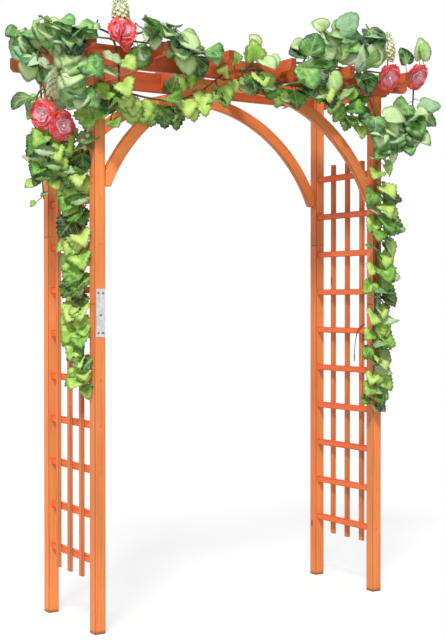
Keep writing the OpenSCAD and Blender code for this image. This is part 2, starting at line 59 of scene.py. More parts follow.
LENS, PITCH, HEADING = 71.74, 89.297, -32.69
EYE = (-2.7224, -4.2774, 1.1801)
camera_data = bpy.data.cameras.new("camera")
camera_data.lens = LENS
camera_data.sensor_width = 36
camera = new_object("camera", camera_data)
camera.location = EYE
camera.rotation_euler = (math.radians(PITCH), 0, math.radians(HEADING))
bpy.context.scene.camera = camera
bpy.context.scene.view_settings.view_transform = "Standard"
print("camera at", EYE, "with a lens of", LENS, "mm")

# %% [markdown]
# ## Helpers for materials
# Colours are written as the hex values that a paint chart gives. Blender mixes light in linear
# values, so one function turns them over. Every material is a small graph of nodes, and one
# function adds a node, sets it and joins it up.

# %% Colour and node helpers
def linear(hex_colour, scale=1.0):
    """sRGB to linear: c / 12.92 below 0.04045, and ((c + 0.055) / 1.055) to the 2.4 above it."""
    channels = np.array([int(hex_colour[i:i + 2], 16) / 255 for i in (1, 3, 5)])
    flat = np.where(channels <= 0.04045, channels / 12.92, ((channels + 0.055) / 1.055) ** 2.4)
    return (*(flat * scale), 1.0)


def feed(node, inputs):
    """Gives sockets, in order or by name or number, a value, a socket or another node's output."""
    for socket, value in inputs.items() if isinstance(inputs, dict) else enumerate(inputs):
        if isinstance(value, bpy.types.Node):
            value = value.outputs[0]
        if isinstance(value, bpy.types.NodeSocket):
            node.id_data.links.new(value, node.inputs[socket])
        else:
            node.inputs[socket].default_value = value


def add(tree, kind, inputs=(), stops=(), **settings):
    """Adds one node, sets it and feeds it. stops are a ramp's places and hex colours. A MapRange
    takes a value, the range that it comes from and the range that it goes to."""
    node = tree.nodes.new("ShaderNode" + kind)
    for name, value in settings.items():
        setattr(node, name, value)
    feed(node, inputs)
    if stops:
        elements = node.color_ramp.elements
        while len(elements) < len(stops):
            elements.new(1.0)
        for element, (place, *colour) in zip(elements, stops):
            element.position = place
            element.color = linear(*colour)
    return node


def new_material(name):
    """An empty material with its Principled shader joined to the output."""
    material = bpy.data.materials.new(name)
    material.use_nodes = True
    tree = material.node_tree
    tree.nodes.clear()
    shader = add(tree, "BsdfPrincipled")
    add(tree, "OutputMaterial", {"Surface": shader})
    return material, tree, shader

# %% [markdown]
# ## The studio
# The photograph is a cut-out on white. A pale floor and a white world stand in for that. Both are
# white to the camera and to reflections, the floor still takes the object's shadow, and the light
# that falls on the object is a plain level: a soft key from the front left and an even fill.

# %% Floor, world and key light
WHITE = (1, 1, 1, 1)
FILL, KEY = 0.37, 2.4
FLOOR_REACH, FLOOR_Z = 9, -0.0006


def seen_ray(tree):
    """1 on a ray from the camera, a reflection or glass, and 0 on the rays that carry light."""
    rays = add(tree, "LightPath").outputs
    either = add(tree, "Math", (rays["Is Camera Ray"], rays["Is Glossy Ray"]), operation="MAXIMUM")
    return add(tree, "Math", (either, rays["Is Transmission Ray"]), operation="MAXIMUM")


world = bpy.data.worlds.new("white_studio")
world.use_nodes = True
bpy.context.scene.world = world
sky = world.node_tree
sky.nodes.clear()
fill, shown = [add(sky, "Background", (WHITE, strength)) for strength in (FILL, 1.0)]
add(sky, "OutputWorld", {"Surface": add(sky, "MixShader", (seen_ray(sky), fill, shown))})

floor_mesh = bpy.data.meshes.new("floor")
floor_corners = [(x * FLOOR_REACH, y * FLOOR_REACH, FLOOR_Z)
                 for x, y in ((-1, -1), (1, -1), (1, 1), (-1, 1))]
floor_mesh.from_pydata(floor_corners, [], [(0, 1, 2, 3)])
floor = new_object("floor", floor_mesh)
floor_paper, tree, shader = new_material("matt_white_paper")
feed(shader, {"Base Color": (0.8, 0.8, 0.8, 1), "Roughness": 0.9})
shadow = add(tree, "BsdfDiffuse", {"Color": (0.2, 0.2, 0.2, 1)})
glow = add(tree, "Emission", {"Color": WHITE, "Strength": 0.82})
paper = add(tree, "AddShader", (shadow, glow))
surface = add(tree, "MixShader", (seen_ray(tree), shader, paper))
feed(tree.nodes["Material Output"], {"Surface": surface})
floor_mesh.materials.append(floor_paper)

key_data = bpy.data.lights.new("key", "SUN")
key_data.energy = KEY
key_data.angle = math.radians(10)
key = new_object("key", key_data)
key.rotation_euler = (math.radians(42), 0, math.radians(-41))
print("key light", KEY, "fill", FILL)

# %% [markdown]
# ## Stained pine
# The frame is planed softwood dipped in an orange stain. The stain soaks deeper into the soft
# early wood than the hard late wood, so the growth rings read as long darker streaks. Sawn end
# grain drinks more of it and turns brown, and it gathers along the arrises. The streaks on real
# boards are 2 to 5 mm wide. They are drawn up to 9 mm wide here, so that they show from a step
# away. Each board carries its own grain coordinates in metres, so no two boards match.

# %% Stained pine material
def layer(tree, name):
    """The X, Y and Z of an attribute that the mesh carries."""
    vector = add(tree, "Attribute", attribute_name=name).outputs["Vector"]
    return add(tree, "SeparateXYZ", [vector]).outputs


def stained_pine(name, early, late, end_grain):
    """Rings round a pith line outside the board give the streaks, with fibres over them."""
    material, tree, shader = new_material(name)
    own = layer(tree, "board")
    grain, along = [add(tree, "Attribute", attribute_name=key).outputs["Vector"]
                    for key in ("grain", "along")]
    drawn, fine, blotch, cells = [
        add(tree, "Mapping", {"Vector": grain, "Scale": scale})
        for scale in ((0.06, 1, 1), (7, 210, 210), (3, 14, 14), (3.1, 9, 9))]
    rings = add(tree, "TexWave", {"Vector": drawn, "Scale": 22.0, "Distortion": 7.0, "Detail": 3.0,
                                  "Detail Scale": 0.7, "Detail Roughness": 0.6},
                wave_type="RINGS", rings_direction="X", wave_profile="SIN")
    fibres = add(tree, "TexNoise", {"Vector": fine, "Scale": 1.0, "Detail": 3.0})
    stain = add(tree, "TexNoise", {"Vector": blotch, "Scale": 1.0, "Detail": 2.0})
    knots = add(tree, "TexVoronoi", {"Vector": cells, "Scale": 1.0, "Randomness": 1.0})

    streaks = add(tree, "Math", (rings.outputs[1], 0.26, 0.02), operation="MULTIPLY_ADD")
    streaks = add(tree, "Math", (fibres, 0.8, streaks), operation="MULTIPLY_ADD")
    wood = add(tree, "ValToRGB", [streaks],
               stops=[(0.2, early, 1.04), (0.6, early, 0.97), (0.95, late)])
    level = add(tree, "MapRange", (stain, 0.3, 0.7, 0.87, 1.1))
    level = add(tree, "Math", (level, own["X"]), operation="MULTIPLY")
    wood = add(tree, "VectorMath", {0: wood, "Scale": level}, operation="SCALE")

    normal = add(tree, "NewGeometry").outputs["Normal"]
    facing = add(tree, "VectorMath", (normal, along), operation="DOT_PRODUCT").outputs["Value"]
    facing = add(tree, "Math", [facing], operation="ABSOLUTE")
    place = add(tree, "TexCoord").outputs["Object"]
    height = add(tree, "SeparateXYZ", [place]).outputs["Z"]
    # On top come knots, sawn ends, stain along the arrises, and a darker band up to 16 mm from the
    # foot.
    # Each starts to show at one value and is full at the next.
    for value, none, full, strength, colour, ease in (
            (knots.outputs["Distance"], 0.085, 0.045, 0.85, linear(end_grain, 0.8), "SMOOTHSTEP"),
            (facing, 0.62, 0.9, 0.8, linear(end_grain), "LINEAR"),
            (own["Y"], 0.75, 0.0, 0.8, linear(end_grain, 0.8), "LINEAR"),
            (height, 0.016, 0.002, 0.8, linear("#5A2A18"), "LINEAR")):
        share = add(tree, "MapRange", (value, none, full, 0.0, strength), interpolation_type=ease)
        wood = add(tree, "Mix", {0: share, 6: wood, 7: colour}, data_type="RGBA").outputs[2]

    rough = add(tree, "MapRange", (streaks, 0.1, 0.9, 0.62, 0.46))
    bump = add(tree, "Bump", {"Strength": 0.35, "Distance": 0.0006, "Height": streaks})
    feed(shader, {"Base Color": wood, "Roughness": rough, "Normal": bump})
    return material


post_pine = stained_pine("stained_pine_posts", "#FB914C", "#E26C34", "#7A3016")
board_pine = stained_pine("stained_pine_boards", "#EE7036", "#CE5020", "#742A14")
print("nodes in the pine", len(post_pine.node_tree.nodes))

# %% [markdown]
# ## Boards
# Every timber is a flat outline with a thickness: a rectangle for a post, rail or slat, a notched
# shape with an S-shaped step at each end for a beam or rafter, and a curved one for a brace. One
# function carries the outline across the thickness as rings of points, with a ring 4 mm in from
# each arris, which the material uses. A Bevel modifier then eases each arris as a planer does.

# %% Mesh helpers
def unit(v):
    """v divided by its length, along the last axis."""
    return v / np.linalg.norm(v, axis=-1, keepdims=True)


def copies(faces, count, size):
    """The same faces for each of count shapes that have size points each."""
    return (faces + size * np.arange(count)[:, None, None]).reshape(-1, faces.shape[1])


def ring_faces(sides, rows):
    """Quads between rows of rings, and a face on each end. Ring k holds points k sides and on."""
    here = np.arange(sides)
    after = np.roll(here, -1)
    walls = copies(np.stack([here, after, after + sides, here + sides], 1), rows - 1, sides)
    return walls, np.stack([here[::-1], here + (rows - 1) * sides])


def make_piece(name, points, faces, materials, node, slot, part=None, **attributes):
    """Puts points and faces into a mesh that rides on the frame and stands for a CAD node. part is
    each face's material, and an attribute gives each point three values."""
    mesh = bpy.data.meshes.new(name)
    points = np.asarray(points, np.float32).reshape(-1, 3)
    corners = np.concatenate([f.ravel() for f in faces]).astype(np.int32)
    sizes = np.concatenate([np.full(len(f), f.shape[1], np.int32) for f in faces])
    mesh.vertices.add(len(points))
    mesh.vertices.foreach_set("co", points.ravel())
    mesh.loops.add(len(corners))
    mesh.loops.foreach_set("vertex_index", corners)
    mesh.polygons.add(len(sizes))
    mesh.polygons.foreach_set("loop_start", (np.cumsum(sizes) - sizes).astype(np.int32))
    mesh.polygons.foreach_set("use_smooth", np.full(len(sizes), True))
    for material in materials:
        mesh.materials.append(material)
    if part is not None:
        mesh.polygons.foreach_set("material_index", part.astype(np.int32))
    mesh.update(calc_edges=True)
    for key, values in attributes.items():
        data = mesh.attributes.new(key, "FLOAT_VECTOR", "POINT").data
        data.foreach_set("vector", np.asarray(values, np.float32).ravel())
    piece = new_object(name, mesh)
    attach(piece, "root")
    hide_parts(node)
    return piece


def modify(piece, name, kind, **settings):
    """Adds a modifier to the piece and sets it."""
    modifier = piece.modifiers.new(name, kind)
    for key, value in settings.items():
        setattr(modifier, key, value)

# %% The board function
rng = np.random.default_rng(7)
EASE, ARRIS = 0.0013, 0.004
# No piece runs along SLANT, so the cross product with it is never zero.
SLANT = (0.31, 0.87, 0.38)


def inset(outline, distance):
    """Each corner moves in by distance / (1 + n0.n1) times (n0 + n1), its two inward normals."""
    edge = np.roll(outline, -1, axis=0) - outline
    after = unit(np.stack([-edge[:, 1], edge[:, 0]], 1))
    before = np.roll(after, 1, axis=0)
    return outline + distance * (before + after) / (1 + (before * after).sum(1, keepdims=True))


def board(node, plane, outline, low, high, grain_along, tint=1.0, post=False):
    """The outline (counter-clockwise, in the plane's two axes) at six depths from low to high.
    Points: ring k holds the outline, drawn in by 4 mm on the first and last ring."""
    outline = np.asarray(outline, float)
    count = len(outline)
    depths = (low, low, low + ARRIS, high - ARRIS, high, high)
    flat, deep = {"yz": ((1, 2), 0), "xz": ((0, 2), 1)}[plane]
    rings = np.zeros((6, count, 3))
    for k, depth in enumerate(depths):
        rings[k][:, flat] = inset(outline, ARRIS) if k in (0, 5) else outline
        rings[k][:, deep] = depth
    faces = ring_faces(count, 6)
    if plane == "xz":
        faces = [f[:, ::-1] for f in faces]
    points = rings.reshape(-1, 3)
    run = unit(np.asarray(grain_along, float))
    side = unit(np.cross(run, SLANT)) if abs(run[1]) < 0.9 else np.array([1.0, 0, 0])
    shift = np.array([rng.uniform(0, 40), rng.uniform(0.03, 0.09), rng.uniform(-0.07, 0.07)])
    grain = (points - points.mean(0)) @ np.stack([run, side, np.cross(run, side)], 1) + shift
    edge = np.repeat([1, 0, 1, 1, 0, 1], count)
    own = np.stack([np.full(len(edge), tint * rng.uniform(0.95, 1.05)), edge, edge * 0], 1)
    piece = make_piece("timber_" + node, points, faces, [post_pine if post else board_pine], node,
                       "post_timber" if post else "timber",
                       grain=grain, board=own, along=np.tile(run, (len(points), 1)))
    modify(piece, "eased_arris", "BEVEL", width=EASE, segments=2, limit_method="ANGLE",
           angle_limit=math.radians(35), harden_normals=True)


print("each arris is eased by", EASE, "m")

# %% [markdown]
# ## Posts
# Each post is a 42 mm square section in two lengths that meet on a dowel, so a fine line shows
# round it at the joint. The rear right one is a tenth darker, which is painted shade. The head
# is cut back by the thickness of the beam that it carries. The outline lies in the YZ plane, where
# that rebate shows, and runs through the post's width.

# %% Posts
POST_IN, POST_OUT = 0.615, 0.657
ROW_IN, ROW_OUT = 0.173, 0.215
BEAM_Z, BEAM_TOP, BEAM_T = 2.032, 2.108, 0.024
JOINT_Z = {"front": 1.181, "rear": 1.436}
SIDES = (("left", -1), ("right", 1))


def turned(outline, sign):
    """The outline, with its first axis mirrored for sign -1, and its order turned to match."""
    outline = np.asarray(outline, float)
    return outline if sign > 0 else (outline * (-1, 1))[::-1]


for row, row_sign in (("front", -1), ("rear", 1)):
    joint = JOINT_Z[row]
    lower = [(ROW_IN, 0), (ROW_OUT, 0), (ROW_OUT, joint), (ROW_IN, joint)]
    upper = [(ROW_IN, joint), (ROW_OUT, joint), (ROW_OUT, BEAM_Z),
             (ROW_OUT - BEAM_T, BEAM_Z), (ROW_OUT - BEAM_T, BEAM_TOP), (ROW_IN, BEAM_TOP)]
    for side, sign in SIDES:
        # The rear right post is darkened by a tenth as painted shade.
        tint = 0.9 if (row, side) == ("rear", "right") else 1.0
        for half, outline in (("lower", lower), ("upper", upper)):
            board(f"post_{row}_{side}_{half}", "yz", turned(outline, row_sign),
                  *sorted((sign * POST_IN, sign * POST_OUT)), (0, 0, 1), tint, post=True)

# %% [markdown]
# ## Beams and rafters
# A bandsaw cuts the same tail on each: an S-shaped step up to a slimmer end with its lower corner
# taken off. The step is half a cosine wave. A beam is notched from above and a rafter from below,
# so that they lap, and the rafters stand 12 mm above the beams.

# %% Beams and rafters
BEAM_HALF, RAFTER_HALF = 0.795, 0.317
RAFTER_X = (np.arange(6) - 2.5) * 0.284
RAFTER_T, RAFTER_Z, RAFTER_TOP = 0.022, 2.050, 2.120
LAP_Z, LAP_PLAY = 2.079, 0.0002
TAIL_UP, TAIL_STEP, TAIL_CUT = 0.024, 0.022, 0.013


def tailed(half_length, low, high, run):
    """Lower edge of a tailed board from its middle to its end. The step's height is
    up (1 - cos(180 t)) / 2. It ends run short of the end, and a flat and a cut corner follow."""
    t = np.linspace(0, 1, 9)
    wave = np.stack([half_length - run - TAIL_STEP * (1 - t),
                     low + TAIL_UP * (1 - np.cos(np.pi * t)) / 2], 1)
    return np.concatenate([wave, [(half_length - TAIL_CUT, low + TAIL_UP),
                                  (half_length, low + TAIL_UP + TAIL_CUT), (half_length, high)]])


def with_notches(lower_half, edge_z, spots, thickness):
    """A whole outline: both halves of the lower edge, and notches for boards of that thickness,
    cut to the lap's height from the edge at edge_z, which is the lower edge or the top one."""
    left = (lower_half * (-1, 1))[::-1]
    w = thickness / 2 + LAP_PLAY
    teeth = np.array([[(x - w, edge_z), (x - w, LAP_Z), (x + w, LAP_Z), (x + w, edge_z)]
                      for x in spots]).reshape(-1, 2)
    if edge_z > LAP_Z:
        return np.concatenate([left, lower_half, teeth[::-1]])
    return np.concatenate([left, teeth, lower_half])


beam_shape = with_notches(tailed(BEAM_HALF, BEAM_Z, BEAM_TOP, 0.093), BEAM_TOP, RAFTER_X, RAFTER_T)
# Both beams are darkened as painted shade, the rear one most, for the shadow of the roof and
# leaves.
board("beam_front", "xz", beam_shape, -ROW_OUT, -ROW_OUT + BEAM_T, (1, 0, 0), 0.86)
board("beam_rear", "xz", beam_shape, ROW_OUT - BEAM_T, ROW_OUT, (1, 0, 0), 0.62)
rafter_shape = with_notches(tailed(RAFTER_HALF, RAFTER_Z, RAFTER_TOP, 0.064), RAFTER_Z,
                            (-ROW_OUT + BEAM_T / 2, ROW_OUT - BEAM_T / 2), BEAM_T)
for i, x in enumerate(RAFTER_X):
    board(f"rafter_{i + 1}", "yz", rafter_shape, x - RAFTER_T / 2, x + RAFTER_T / 2,
          (0, 1, 0), 1.02)
print("beam outline points", len(beam_shape), "rafter outline points", len(rafter_shape))

# %% [markdown]
# ## Curved braces
# Each arch is two boards sawn to a curve from straight plank, so the grain runs straight across
# the curve. The outline is two arcs round one centre, cut flat under the beam, against the post
# and at the foot. Each board stands in the middle of the post's depth, 10 mm in from either face,
# and has its own tint, which is painted light and shade: the front left one is lightened against
# the shadow of the leaves above it, and the other three are darkened a little as painted shade.

# %% Curved braces
ARCH_R, ARCH_BAND, ARCH_CZ, ARCH_T, FOOT_Z = 0.63525, 0.045, 1.35775, 0.022, 1.603
OUTER_R = ARCH_R + ARCH_BAND


def arc(radius, start, stop, count=30):
    """Points of a circle round the arch's centre: (r cos a, centre + r sin a)."""
    angle = np.linspace(start, stop, count)
    return np.stack([radius * np.cos(angle), ARCH_CZ + radius * np.sin(angle)], 1)


outer_arc = arc(OUTER_R, math.acos(POST_IN / OUTER_R), math.asin((BEAM_Z - ARCH_CZ) / OUTER_R))
inner_arc = arc(ARCH_R, math.pi / 2, math.asin((FOOT_Z - ARCH_CZ) / ARCH_R))
brace = np.concatenate([[(POST_IN, FOOT_Z)], outer_arc, [(0, BEAM_Z)], inner_arc])
# Painted light and shade: 1.4 lightens the front left brace out of the leaves' shadow, and 0.92
# and 0.9 darken the rest.
for row, low, light_and_shade_tints in (("front", -0.205, (1.4, 0.92)), ("rear", 0.183, (0.9, 0.9))):
    for (side, sign), tint in zip(SIDES, light_and_shade_tints):
        board(f"arch_{row}_{side}", "xz", turned(brace, sign), low, low + ARCH_T,
              (-sign, 0, 0.75), tint, post=True)
print("brace outline points", len(brace))

# %% [markdown]
# ## Trellis
# Ten rails a side run from post to post, and three slats are nailed to their outer faces. They are
# plain sticks, so the outline is a rectangle.

# %% Trellis
RAIL_Z = 1.720 - 0.1625 * np.arange(10)
RAIL_X, RAIL_T, RAIL_H = 0.634, 0.022, 0.024
SLAT_Y = {"front": -0.097, "middle": 0.0, "rear": 0.097}
SLAT_IN, SLAT_HALF, SLAT_Z, SLAT_TOP = 0.645, 0.012, 0.1905, 1.780


def rectangle(a0, a1, b0, b1):
    """Four corners, counter-clockwise."""
    return [(a0, b0), (a1, b0), (a1, b1), (a0, b1)]


for side, sign in SIDES:
    for k, z in enumerate(RAIL_Z):
        board(f"rail_{side}_{k + 1}", "yz",
              rectangle(-ROW_IN, ROW_IN, z - RAIL_H / 2, z + RAIL_H / 2),
              sign * RAIL_X - RAIL_T / 2, sign * RAIL_X + RAIL_T / 2, (0, 1, 0), 1.18)
    for name, y in SLAT_Y.items():
        board(f"slat_{side}_{name}", "yz",
              rectangle(y - SLAT_HALF, y + SLAT_HALF, SLAT_Z, SLAT_TOP),
              *sorted((sign * SLAT_IN, sign * POST_OUT)), (0, 0, 1), 0.84, post=True)
print("trellis sticks", 2 * (len(RAIL_Z) + len(SLAT_Y)))

# %% [markdown]
# ## Zinc: joint plates, screws and nails
# The plates are galvanised steel: dipped in molten zinc, which cools into flat crystals a few
# millimetres across, each a slightly different grey. The screws in the timber have a yellow zinc
# plating, and those in the plates a plain grey one, darkened as painted shade for the holes they
# sit in. A screw is a profile turned round its axis, with the cross in its head pressed in where
# the angle says.

# %% Zinc materials
def zinc(name, pale, deep, spangle, roughness):
    """Voronoi cells of about 6 mm are the crystals, each a little greyer or paler than the next,
    and fine scratches change the polish."""
    material, tree, shader = new_material(name)
    place = add(tree, "TexCoord").outputs["Object"]
    cells = add(tree, "TexVoronoi", {"Vector": place, "Scale": 160.0})
    level = add(tree, "SeparateXYZ", [cells.outputs["Color"]]).outputs["X"]
    grey = add(tree, "MapRange", (level, 0.0, 1.0, 0.0, spangle))
    colour = add(tree, "Mix", {0: grey, 6: linear(pale), 7: linear(deep)}, data_type="RGBA")
    scratches = add(tree, "TexNoise", {"Vector": place, "Scale": 420.0, "Detail": 3.0})
    rough = add(tree, "MapRange", (scratches, 0.2, 0.8, roughness - 0.08, roughness + 0.1))
    bump = add(tree, "Bump", {"Strength": 0.2, "Distance": 0.0002, "Height": scratches})
    feed(shader, {"Base Color": colour.outputs[2], "Roughness": rough, "Normal": bump,
                  "Metallic": 1.0})
    return material


galvanised = zinc("galvanised_steel_sheet", "#E9E7E6", "#BFC0C2", 0.7, 0.42)
screw_zinc = zinc("yellow_zinc_plated_screws", "#D99A62", "#B8713F", 0.5, 0.36)
# The plate screws' grey is darkened as painted shade, so they read as dark dots on the bright
# plate.
plain_zinc_painted_shade = zinc("plain_zinc_screws_painted_shade", "#8F8D8C", "#5E5C5B", 0.5, 0.36)
dowel_wood = stained_pine("turned_beech_dowel", "#E9C79A", "#D8B07C", "#B98F5E")
for node, finish in (("joint_plates", galvanised), ("post_dowels", dowel_wood)):
    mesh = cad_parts[node].data
    mesh.materials.clear()
    mesh.materials.append(finish)
    print(node, "is finished as", finish.name)

# %% Screws and nails
def fasteners(node, spots, length, head_d=0.009, shank_d=0.0045, cross=0.0010, finish=screw_zinc):
    """A profile (radius, depth) turned round each screw's axis: 16 points round, with the cross
    pressed in by cross times cos(2a) to the 6th, on the ring at half the head's radius. spots
    gives each head's middle and the way that its point looks."""
    heads, axis = np.swapaxes(np.array(spots, float), 0, 1)
    axis = unit(axis)
    side = unit(np.cross(axis, SLANT))
    other = np.cross(axis, side)
    r, s = head_d / 2, shank_d / 2
    profile = np.array([(0.22 * r, 0), (0.55 * r, 0), (0.74 * r, -0.0003), (r, 0), (r, 0.0002),
                        (s, (r - s) + 0.0002), (s * 0.8, length - 0.006), (s * 0.15, length)])
    angle = np.linspace(0, 2 * np.pi, 16, endpoint=False)
    depth = np.repeat(profile[:, 1:], 16, 1)
    arms = np.cos(2 * angle) ** 6
    depth[0] += cross * np.maximum(arms, 0.75)
    depth[1] += cross * arms - 0.0003
    ring = np.cos(angle)[:, None] * side[:, None] + np.sin(angle)[:, None] * other[:, None]
    points = (heads[:, None, None] - axis[:, None, None] * 0.0003
              + profile[None, :, None, :1] * ring[:, None]
              + depth[None, :, :, None] * axis[:, None, None])
    faces = [copies(f, len(heads), 16 * len(profile)) for f in ring_faces(16, len(profile))]
    make_piece(node + "_metal", points, faces, [finish], node, "zinc")


POST_X, POST_Y = (POST_IN + POST_OUT) / 2, (ROW_IN + ROW_OUT) / 2
BEAM_SCREW_Z, FOOT_SCREW_Z = (2.052, 2.088), (1.613, 1.635)
CROWN_SCREW_X, CROWN_SCREW_Y = 0.045, 0.198
PLATE_X, PLATE_Y, PLATE_UP = 0.634, ROW_OUT + 0.002, 0.054
corners = [(sx, sy) for sx in (-1, 1) for sy in (-1, 1)]
rails = [((sx * RAIL_X, sy * ROW_OUT, z), (0, -sy, 0)) for sx, sy in corners for z in RAIL_Z]
roof = [((sx * POST_X, sy * ROW_OUT, z), (0, -sy, 0)) for sx, sy in corners for z in BEAM_SCREW_Z]
roof += [((x, sy * (ROW_OUT - BEAM_T / 2), RAFTER_TOP), (0, 0, -1))
         for x in RAFTER_X for sy in (-1, 1)]
crown_z = ARCH_CZ + math.sqrt(ARCH_R ** 2 - CROWN_SCREW_X ** 2) + 0.001
feet = [((sx * POST_OUT, sy * POST_Y, z), (-sx, 0, 0)) for sx, sy in corners for z in FOOT_SCREW_Z]
feet += [((sx * CROWN_SCREW_X, sy * CROWN_SCREW_Y, crown_z), (0, 0, 1)) for sx, sy in corners]
plate_holes = ((-0.009, 0.015), (0.009, 0.015), (0, 0.0935), (-0.009, 0.157), (0.009, 0.157))
plate_top = {-1: JOINT_Z["front"] + PLATE_UP, 1: JOINT_Z["rear"] + PLATE_UP}
plates = [((sx * PLATE_X + dx, sy * PLATE_Y, plate_top[sy] - down), (0, -sy, 0))
          for sx, sy in corners for dx, down in plate_holes]
nails = [((sx * POST_OUT, y, z), (-sx, 0, 0))
         for sx in (-1, 1) for y in SLAT_Y.values() for z in RAIL_Z]
fasteners("rail_screws", rails, 0.062)
fasteners("roof_screws", roof, 0.038)
fasteners("arch_screws", feet, 0.060)
fasteners("plate_screws", plates, 0.020, finish=plain_zinc_painted_shade)
fasteners("slat_nails", nails, 0.026, 0.0046, 0.0022, 0.0)
print("screws", len(rails + roof + feet + plates), "nails", len(nails))

# %% [markdown]
# ## Leaves: the material
# A leaf is glossy green above and matt grey-green below, and darker round its edge, which is
# painted shadow that sets it off from the leaves behind. Its veins are paler. They start where the
# stalk joins and run out to the lobes, so they are drawn from the leaf's own flat coordinates, in
# shares of its length. Real veins are 1 to 2 mm wide and are drawn about 3 mm wide here.

# %% Leaf material
def stripes(tree, value, rate, none, full, strength):
    """Lines where value times rate is a whole number and a half: |fraction - 0.5| is the distance
    from one, and they go from nothing at none to their strength at full."""
    for operation, other in (("MULTIPLY", rate), ("FRACT", 0), ("SUBTRACT", 0.5), ("ABSOLUTE", 0)):
        value = add(tree, "Math", (value, other), operation=operation)
    return add(tree, "MapRange", (value, none, full, 0.0, strength))


def leaf_skin(name, greens, vein, core, rays, side_veins, rough, upper=True):
    """Veins: the distance to each ray from the stalk, and to chevrons y - 0.8|x| = constant."""
    material, tree, shader = new_material(name)
    blade, own = layer(tree, "blade"), layer(tree, "leaf")
    x = add(tree, "Math", [blade["X"]], operation="ABSOLUTE")
    y, rim = blade["Y"], blade["Z"]
    flat = add(tree, "CombineXYZ", (x, y))
    veins = 0.0
    for degrees, width in rays:
        sin, cos = math.sin(math.radians(degrees)), math.cos(math.radians(degrees))
        run, off = [add(tree, "VectorMath", (flat, way), operation="DOT_PRODUCT").outputs["Value"]
                    for way in ((sin, cos, 0), (cos, -sin, 0))]
        off = add(tree, "Math", [off], operation="ABSOLUTE")
        taper = add(tree, "MapRange", (run, 0.0, 1.0, width, width * 0.3))
        share = add(tree, "Math", (off, taper), operation="DIVIDE")
        line = add(tree, "MapRange", (share, 1.6, 0.5, 0.0, 1.0))
        ahead = add(tree, "Math", (run, 0.0), operation="GREATER_THAN")
        line = add(tree, "Math", (line, ahead), operation="MULTIPLY")
        veins = add(tree, "Math", (veins, line), operation="MAXIMUM")
    chevron = add(tree, "Math", (x, -0.8, y), operation="MULTIPLY_ADD")
    ribs = stripes(tree, chevron, side_veins, 0.15, 0.04, 0.4)
    veins = add(tree, "Math", (veins, ribs), operation="MAXIMUM")

    place = add(tree, "TexCoord").outputs["Object"]
    mottle = add(tree, "TexNoise", {"Vector": place, "Scale": 38.0, "Detail": 3.0})
    tone = add(tree, "Math", (mottle, 1.2, -0.6), operation="MULTIPLY_ADD")
    tone = add(tree, "Math", (tone, own["X"]), operation="ADD", use_clamp=True)
    green = add(tree, "ValToRGB", [tone], stops=list(zip((0.17, 0.46, 0.74, 1.0), greens)))
    # Painted shadow: the rim is mixed towards the darkest green, as an outline where one leaf
    # shades the next.
    edge = add(tree, "MapRange", (rim, 0.82, 1.0, 0.0, 0.68))
    heart = add(tree, "MapRange", (rim, 0.0, 0.6, 0.55, 0.0))
    strength = add(tree, "Math", (veins, 0.38), operation="MULTIPLY")
    # Young leaves are yellower, the edge is darkened as painted shadow, and the leaf has its own
    # tone round the stalk.
    for share, hue in ((own["Y"], vein), (edge, greens[0]), (heart, core), (strength, vein)):
        green = add(tree, "Mix", {0: share, 6: green, 7: linear(hue)}, data_type="RGBA").outputs[2]
    relief = add(tree, "Math", (veins, -1.0 if upper else 1.0, mottle), operation="MULTIPLY_ADD")
    bump = add(tree, "Bump", {"Strength": 0.5, "Distance": 0.0015, "Height": relief})
    feed(shader, {"Base Color": green, "Roughness": rough, "Normal": bump})
    return material


IVY_RAYS = [(0, 0.034), (52, 0.030), (112, 0.026)]
BROAD_RAYS = [(0, 0.034), (42, 0.026), (84, 0.022)]
leaf_skins = {
    "ivy": [leaf_skin("ivy_leaf_waxy_upper", ("#0C2C05", "#58A026", "#98CC48", "#CDEC74"),
                      "#D6E88A", "#66AC26", IVY_RAYS, 5.2, 0.42),
            leaf_skin("ivy_leaf_matt_under", ("#487C3C", "#7DAE66", "#A6CC86", "#CBE6AE"),
                      "#D3E0B0", "#86AE66", IVY_RAYS, 5.2, 0.7, False)],
    "broad": [leaf_skin("broad_leaf_waxy_upper", ("#0C2C10", "#60AE4A", "#A6DC78", "#D2F0AA"),
                        "#CFE89C", "#97C94C", BROAD_RAYS, 6.2, 0.42),
              leaf_skin("broad_leaf_matt_under", ("#487F4C", "#86BC82", "#B2DEA8", "#D4F0C8"),
                        "#CFE0BC", "#9DC296", BROAD_RAYS, 6.2, 0.7, False)],
}
print("leaf finishes", [skin.name for pair in leaf_skins.values() for skin in pair])

# %% [markdown]
# ## Leaves: the shape
# The flat outline is half a row of points and its mirror image. Each leaf is a fan from the stalk
# with two rings, folded along the midrib, curled towards the tip and rippled along the edge. A
# whole vine's leaves are one set of arrays, and Solidify gives them their thickness and underside.

# %% Leaf outlines
HALF = {
    "ivy": [(0.05, -0.03), (0.16, -0.14), (0.30, -0.18), (0.37, -0.08), (0.48, -0.04),
            (0.44, 0.07), (0.56, 0.14), (0.53, 0.26), (0.62, 0.36), (0.50, 0.44), (0.50, 0.56),
            (0.36, 0.58), (0.37, 0.72), (0.24, 0.76), (0.20, 0.89), (0.08, 0.93)],
    "broad": [(0.03, -0.03), (0.11, -0.11), (0.23, -0.14), (0.33, -0.10), (0.45, -0.02),
              (0.48, 0.12), (0.54, 0.24), (0.50, 0.37), (0.50, 0.51), (0.41, 0.63),
              (0.36, 0.75), (0.23, 0.84), (0.14, 0.94), (0.04, 0.97)],
}
print("points on half an outline", {kind: len(half) for kind, half in HALF.items()})

# %% Routes of the stems, and the places of the flowers
STEM_R, LEAF_GAP, STALK = 0.0045, 0.0002, 0.034
BLOOM_R, SPIKE_L, SPIKE_R, FLOWER_STALK = 0.052, 0.120, 0.032, 0.040
